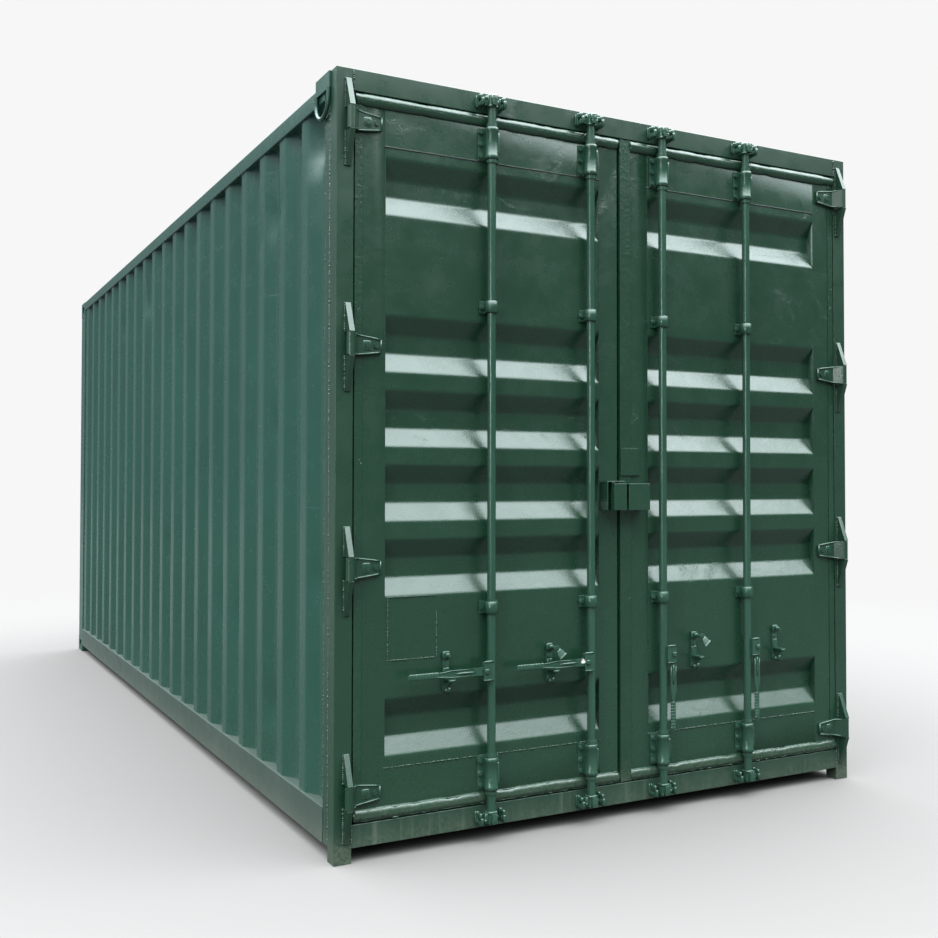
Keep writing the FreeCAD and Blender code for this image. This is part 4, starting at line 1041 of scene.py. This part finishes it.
# %% Seal beads
for side in ("left", "right"):
    low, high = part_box(side + "_door_seal")
    work = bmesh.new()
    ridges = bmesh.new()
    start, end = (low.x + 0.004, high.x - 0.002) if side == "left" else (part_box("right_door_frame")[0].x,
            high.x - 0.004)
    for up, seed in ((high.z - 0.0215, 1.0), (low.z + 0.0215, 7.0)):
        pinches = [(forge.uniform(start, end), forge.uniform(0.012, 0.03), forge.uniform(0.1, 0.28)) for _ in range(7)]
        points, radii, edge = [], [], []
        steps = int((end - start) / 0.008)
        for index in range(steps + 1):
            x = start + (end - start) * index / steps
            slow = ripple(Vector((x * 5, seed, len(side))))
            quick = ripple(Vector((x * 34, seed, len(side))))
            radius = 0.0242 * (1 + 0.022 * slow + 0.022 * quick)
            radius *= 1 - max(deep * math.exp(-((x - at) / wide) ** 2) for at, wide, deep in pinches)
            points.append((x, low.y + radius * 0.66, up + 0.0006 * slow))
            radii.append(radius)
            edge.append((x, low.y + 0.008 + 0.002 * quick, up + 0.0195 + 0.003 * quick))
        swept(work, points, radii, 14, 0.66)
        if up < 1:
            swept(ridges, edge, [0.002 + 0.0042 * max(0.0, ripple(Vector((p[0] * 60, 2.0, 3.0)))) for p in edge], 5)
            under = [(x, y, z - 0.038) for x, y, z in edge]
            swept(ridges, under, [0.0022 + 0.0045 * max(0.0, ripple(Vector((p[0] * 45, 5.0, 3.0)))) for p in under], 5)
    made_piece(side + "_seal_bead", work, side + "_door", seal_finish)
    made_piece(side + "_paint_ridge", ridges, side + "_door", paint_gear)

# %% [markdown]
# ### Cams and their keepers
# Both are forgings. Each keeper cheek is a root on the frame with two teeth and a notch between,
# and each cam carries a rounded claw and nose with a knob at the rod's end.

# %% Keepers
low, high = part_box("cam_keepers")
heights = (low.z + 0.026, high.z - 0.026)
RODS = {(side, place): joint_place("%s_%s_rod_turn" % (side, place)) for side in ("left", "right")
        for place in ("inner", "outer")}
ROD_Y = FRONT - 0.028
work = bmesh.new()
for spot in RODS.values():
    for up in heights:
        for cheek in (-1, 1):
            x = spot.x + cheek * 0.047
            lump(work, (x, FRONT - 0.008, up), (0.013, 0.017, 0.052), 0.03)
            lump(work, (x + cheek * 0.001, FRONT - 0.026, up + 0.013), (0.0115, 0.036, 0.02))
            lump(work, (x, FRONT - 0.03, up - 0.015), (0.0115, 0.042, 0.018))
            lump(work, (x - cheek * 0.0005, FRONT - 0.045, up - 0.006), (0.012, 0.013, 0.026))
            lump(work, (x + cheek * 0.003, FRONT - 0.003, up + 0.002), (0.014, 0.007, 0.044))
made_piece("keeper_forgings", work, "box", paint_gear, ("cam_keepers",))

# %% [markdown]
# The claws, the nose, the knob and two collars ride on the rod. The hub of the handle gets its
# rolled edges and its rivet here too, as it turns with the rod.

# %% Cam claws and collars
for (side, place), spot in RODS.items():
    sign = -1 if side == "left" else 1
    y = ROD_Y
    work = bmesh.new()
    for up in heights:
        outer = 1 if up > 1 else -1
        lump(work, (spot.x + sign * 0.022, y, up), (0.024, 0.024, 0.04), 0.04)
        lump(work, (spot.x, y - 0.022, up + 0.004 * outer), (0.024, 0.024, 0.034), 0.04)
        lump(work, (spot.x + sign * 0.028, y - 0.002, up + 0.009 * outer), (0.012, 0.027, 0.015))
        lump(work, (spot.x + 0.002, y - 0.028, up - 0.008 * outer), (0.027, 0.011, 0.014))
        lump(work, (spot.x, y, up + 0.019 * outer), (0.034, 0.034, 0.017), 0.03)
        lump(work, (spot.x, y, up - 0.02 * outer), (0.043, 0.043, 0.011), 0.02, 16)
    pivot = joint_place("%s_%s_handle_lift" % (side, place))
    swept(work, [(spot.x + sign * d, pivot.y - 0.0082, pivot.z + 0.0335 + (0.0012 if 0.01 < d < 0.04 else 0.0))
                 for d in (0.004, 0.014, 0.026, 0.038, 0.044)], [0.0038, 0.0046, 0.0046, 0.0044, 0.0034], 8)
    swept(work, [(spot.x + sign * d, pivot.y - 0.0078, pivot.z - 0.0335) for d in (0.004, 0.024, 0.044)], 0.0032, 8)
    lump(work, (pivot.x, pivot.y - 0.0135, pivot.z), (0.019, 0.009, 0.019), 0.02)
    made_piece("%s_%s_cam_claws" % (side, place), work, "%s_%s_rod_body" % (side, place), paint_gear)

# %% [markdown]
# ### Hinge blades, handles, retainers and catches
# The blades have rolled rims and a raised boss round the big bolt. Handles are stamped with a
# rib, retainers end in a curled hook, and the loose catches have a rolled lip that thumbs have
# kept bright. Catch and lip are also painted paler than the rest of the gear, a painted highlight for their gloss.

# %% Rims, ribs and hooks
SLEEVE_BORE = 0.0212
SHORT_SLEEVE = ((-0.0225, 0.0225), (-0.0205, 0.0245), (0.0205, 0.0245), (0.0225, 0.0225))
LONG_SLEEVE = ((-0.0605, 0.0238), (-0.0585, 0.0262), (-0.046, 0.0262), (-0.043, 0.0245),
               (0.043, 0.0245), (0.046, 0.0262), (0.0585, 0.0262), (0.0605, 0.0238))
CATCH_LEAN = math.radians(50)
for side, sign in (("left", -1), ("right", 1)):
    work = bmesh.new()
    for at in HINGES:
        for edge in (-1, 1):
            path = ((1.153, -0.029, 0.036), (1.146, -0.017, 0.0355), (1.138, -0.0085, 0.0345), (1.118, -0.0068, 0.032),
                    (1.095, -0.0062, 0.029), (1.07, -0.0055, 0.0255), (1.051, -0.005, 0.0225))
            swept(work, [(sign * x, FRONT + y, at + edge * up) for x, y, up in path],
                  [0.0026, 0.003, 0.0034, 0.0034, 0.0036, 0.004, 0.0034], 8)
        swept(work, [(sign * 1.0495, FRONT - 0.005, at - 0.022), (sign * 1.0495, FRONT - 0.0055, at),
                     (sign * 1.0495, FRONT - 0.005, at + 0.022)], 0.0036, 8)
        lump(work, (sign * 1.104, FRONT - 0.0055, at), (0.034, 0.008, 0.038), 0.03)
    made_piece(side + "_hinge_rims", work, side + "_door", paint_gear)

    work = bmesh.new()
    for place in ("inner", "outer"):
        x = RODS[side, place].x + sign * CATCH_SIDE
        z = joint_place("%s_%s_handle_lift" % (side, place)).z
        swept(work, [(x, FRONT - 0.002, z - 0.058), (x, FRONT - 0.008, z - 0.068), (x, FRONT - 0.02, z - 0.071),
                     (x, FRONT - 0.031, z - 0.063), (x, FRONT - 0.035, z - 0.05)],
                     [0.008, 0.0075, 0.007, 0.006, 0.0045], 10)
        swept(work, [(x + dx, FRONT - 0.0565, z - 0.0235) for dx in (-0.0125, -0.004, 0.006, 0.0125)],
              [0.0042, 0.0048, 0.0048, 0.004], 8)
        lump(work, (x, FRONT - 0.004, z + 0.064), (0.032, 0.013, 0.03), 0.04)
        lump(work, (x, FRONT - 0.016, z + 0.064), (0.018, 0.02, 0.018), 0.04)
        lump(work, (x + 0.001, FRONT - 0.003, z - 0.005), (0.027, 0.009, 0.05), 0.03)
        for off in LONG_BRACKETS:
            sleeve(work, (RODS[side, place].x, ROD_Y, MIDDLE + off), LONG_SLEEVE, SLEEVE_BORE)
            lump(work, (RODS[side, place].x + 0.0245, FRONT - 0.033, MIDDLE + off), (0.012, 0.012, 0.088), 0.03)
        for off in SHORT_BRACKETS:
            sleeve(work, (RODS[side, place].x, ROD_Y, MIDDLE + off), SHORT_SLEEVE, SLEEVE_BORE)
    made_piece(side + "_retainer_hooks", work, side + "_door", paint_gear)

    work = bmesh.new()
    hook = joint_place(side + "_catch_swing")
    along = Vector((math.cos(CATCH_LEAN), 0, -math.sin(CATCH_LEAN)))
    across = Vector((math.sin(CATCH_LEAN), 0, math.cos(CATCH_LEAN)))
    centre = Vector((hook.x, FRONT - 0.0615, hook.z))
    swept(work, [centre + along * d for d in (0.0085, 0.015, 0.026, 0.036, 0.04)],
          [0.0105, 0.0125, 0.0158, 0.0158, 0.0145], 14, 0.28)
    made_piece(side + "_catch_plate", work, side + "_catch_body", paint_worn_and_sheen)
    work = bmesh.new()
    swept(work, [centre + along * (0.041 + 3.2 * k * k) + across * k + Vector((0, -0.0005, 0))
                 for k in (-0.018, -0.012, -0.004, 0.004, 0.012, 0.018)],
                 [0.003, 0.0048, 0.0052, 0.005, 0.0046, 0.003], 10)
    made_piece(side + "_catch_lip", work, side + "_catch_body", paint_worn_and_sheen)

    for place in ("inner", "outer"):
        pivot = joint_place("%s_%s_handle_lift" % (side, place))
        low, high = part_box("%s_%s_handle" % (side, place))
        hangs = high.z - low.z > 0.2
        along = Vector((0, 0, -1)) if hangs else Vector((sign, 0, 0))
        across = Vector((1, 0, 0)) if hangs else Vector((0, 0, 1))
        work = bmesh.new()
        face = pivot + Vector((0, -0.0042, 0))
        swept(work, [face + along * d for d in (0.042, 0.06, 0.08, 0.1, 0.124)],
              [0.0018, 0.0042, 0.005, 0.0046, 0.002], 8)
        for edge in (-1, 1):
            swept(work, [face + along * d + across * edge * w for d,
                         w in ((0.05, 0.0122), (0.09, 0.0122), (0.142, 0.0122), (0.168, 0.0085), (0.2, 0.0068))],
                         [0.0016, 0.0022, 0.0024, 0.0024, 0.0016], 6)
        for step in range(9):
            lump(work, face + Vector((0, 0.0025, 0)) + along * (0.2 + step * 0.0125),
                 (0.0235 if hangs else 0.0155, 0.0085, 0.0155 if hangs else 0.0235), 0.035, 12, 6)
        made_piece("%s_%s_handle_ribs" % (side, place), work, "%s_%s_handle_body" % (side, place), paint_gear)

# %% [markdown]
# ## Stage, light and camera
# A plain pale floor and a wide overcast light, a little cool from above, bring out the bends of
# the sheet. The camera stands at eye height off the front left corner, close to the doors.

# %% Stage and light
floor_mesh = bpy.data.meshes.new("stage_floor")
floor_mesh.from_pydata([(-60, -60, 0), (60, -60, 0), (60, 60, 0), (-60, 60, 0)], [], [(0, 1, 2, 3)])
stage_floor = new_object("stage_floor", floor_mesh)
pale = bpy.data.materials.new("pale_floor")
pale.use_nodes = True
tree = pale.node_tree
tree.nodes.clear()
near = wire(tree, "ShaderNodeBsdfDiffuse", {"Color": (0.125, 0.112, 0.11, 1)})
far = wire(tree, "ShaderNodeEmission", {"Color": (0.93, 0.93, 0.93, 1)})
away = vectors(tree, "LENGTH", wire(tree, "ShaderNodeTexCoord").outputs["Object"])
seen = wire(tree, "ShaderNodeMixShader", {0: soft_step(tree, away, 3.0, 9.0), 1: near.outputs[0], 2: far.outputs[0]})
thrown = wire(tree, "ShaderNodeBsdfDiffuse", {"Color": (0.05, 0.052, 0.05, 1)})
direct = wire(tree, "ShaderNodeLightPath").outputs["Is Camera Ray"]
either = wire(tree, "ShaderNodeMixShader", {0: direct, 1: thrown.outputs[0], 2: seen.outputs[0]})
wire(tree, "ShaderNodeOutputMaterial", {"Surface": either.outputs[0]})
floor_mesh.materials.append(pale)
stage_floor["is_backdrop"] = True

world = bpy.data.worlds.new("overcast")
bpy.context.scene.world = world
world.use_nodes = True
tree = world.node_tree
tree.nodes.clear()
way = wire(tree, "ShaderNodeTexCoord").outputs["Generated"]
up = wire(tree, "ShaderNodeSeparateXYZ", {0: way}).outputs["Z"]
sky = mixed(tree, soft_step(tree, up, -0.1, 0.7), (0.74, 0.95, 1.0, 1), (0.86, 0.98, 1.0, 1))
glow = plus(tree, 0.2, times(tree, soft_step(tree, up, 0.29, 0.84), 13.0))
beside = soft_step(tree, wire(tree, "ShaderNodeSeparateXYZ", {0: way}).outputs["X"], 0.2, -0.9)
glow = plus(tree, glow, times(tree, beside, 0.35))
sky_light = wire(tree, "ShaderNodeBackground", {"Color": sky, "Strength": glow})
seen = wire(tree, "ShaderNodeBackground", {"Color": (0.93, 0.93, 0.93, 1), "Strength": 1.0})
direct = wire(tree, "ShaderNodeLightPath").outputs["Is Camera Ray"]
blend = wire(tree, "ShaderNodeMixShader", {0: direct, 1: sky_light.outputs[0], 2: seen.outputs[0]})
wire(tree, "ShaderNodeOutputWorld", {"Surface": blend.outputs[0]})


for name, energy, place in (("soft_key", 260.0, (-8.0, FRONT - 5.0, 2.8)),
        ("soft_fill", 70.0, (5.5, FRONT - 4.0, 6.5))):
    panel = bpy.data.lights.new(name, "AREA")
    panel.shape = "RECTANGLE"
    panel.size = 1.0
    panel.size_y = 3.0
    panel.energy = energy
    panel.color = (0.92, 1.0, 1.0)
    lamp = new_object(name, panel)
    lamp.location = place
    lamp.rotation_euler = (Vector((0.0, FRONT, 1.3)) - lamp.location).to_track_quat("-Z", "Y").to_euler()
    lamp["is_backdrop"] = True
print("stage and light set")

# %% [markdown]
# The camera has its place, the way it looks, its lens and a small shift of the frame.

# %% Camera
look = Vector((0.4949, 0.8686, 0.0228)).normalized()
right = look.cross(Vector((0, 0, 1))).normalized()
top = right.cross(look)
camera = new_object("eye", bpy.data.cameras.new("eye"))
camera.matrix_world = Matrix((right, top, -look)).transposed().to_4x4()
camera.location = (-2.585, FRONT - 3.823, 1.334)
camera.data.sensor_width = 36.0
camera.data.lens = 43.73
camera.data.shift_x = -0.0715
camera.data.shift_y = -0.0119
camera.data.clip_end = 200.0
bpy.context.scene.camera = camera
bpy.context.scene.view_settings.view_transform = "Standard"
print("camera at", [round(value, 3) for value in camera.location])

# %% [markdown]
# The box round the dressed model is measured, with the stage left out.

# %% Sizes, and the end
low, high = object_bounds()
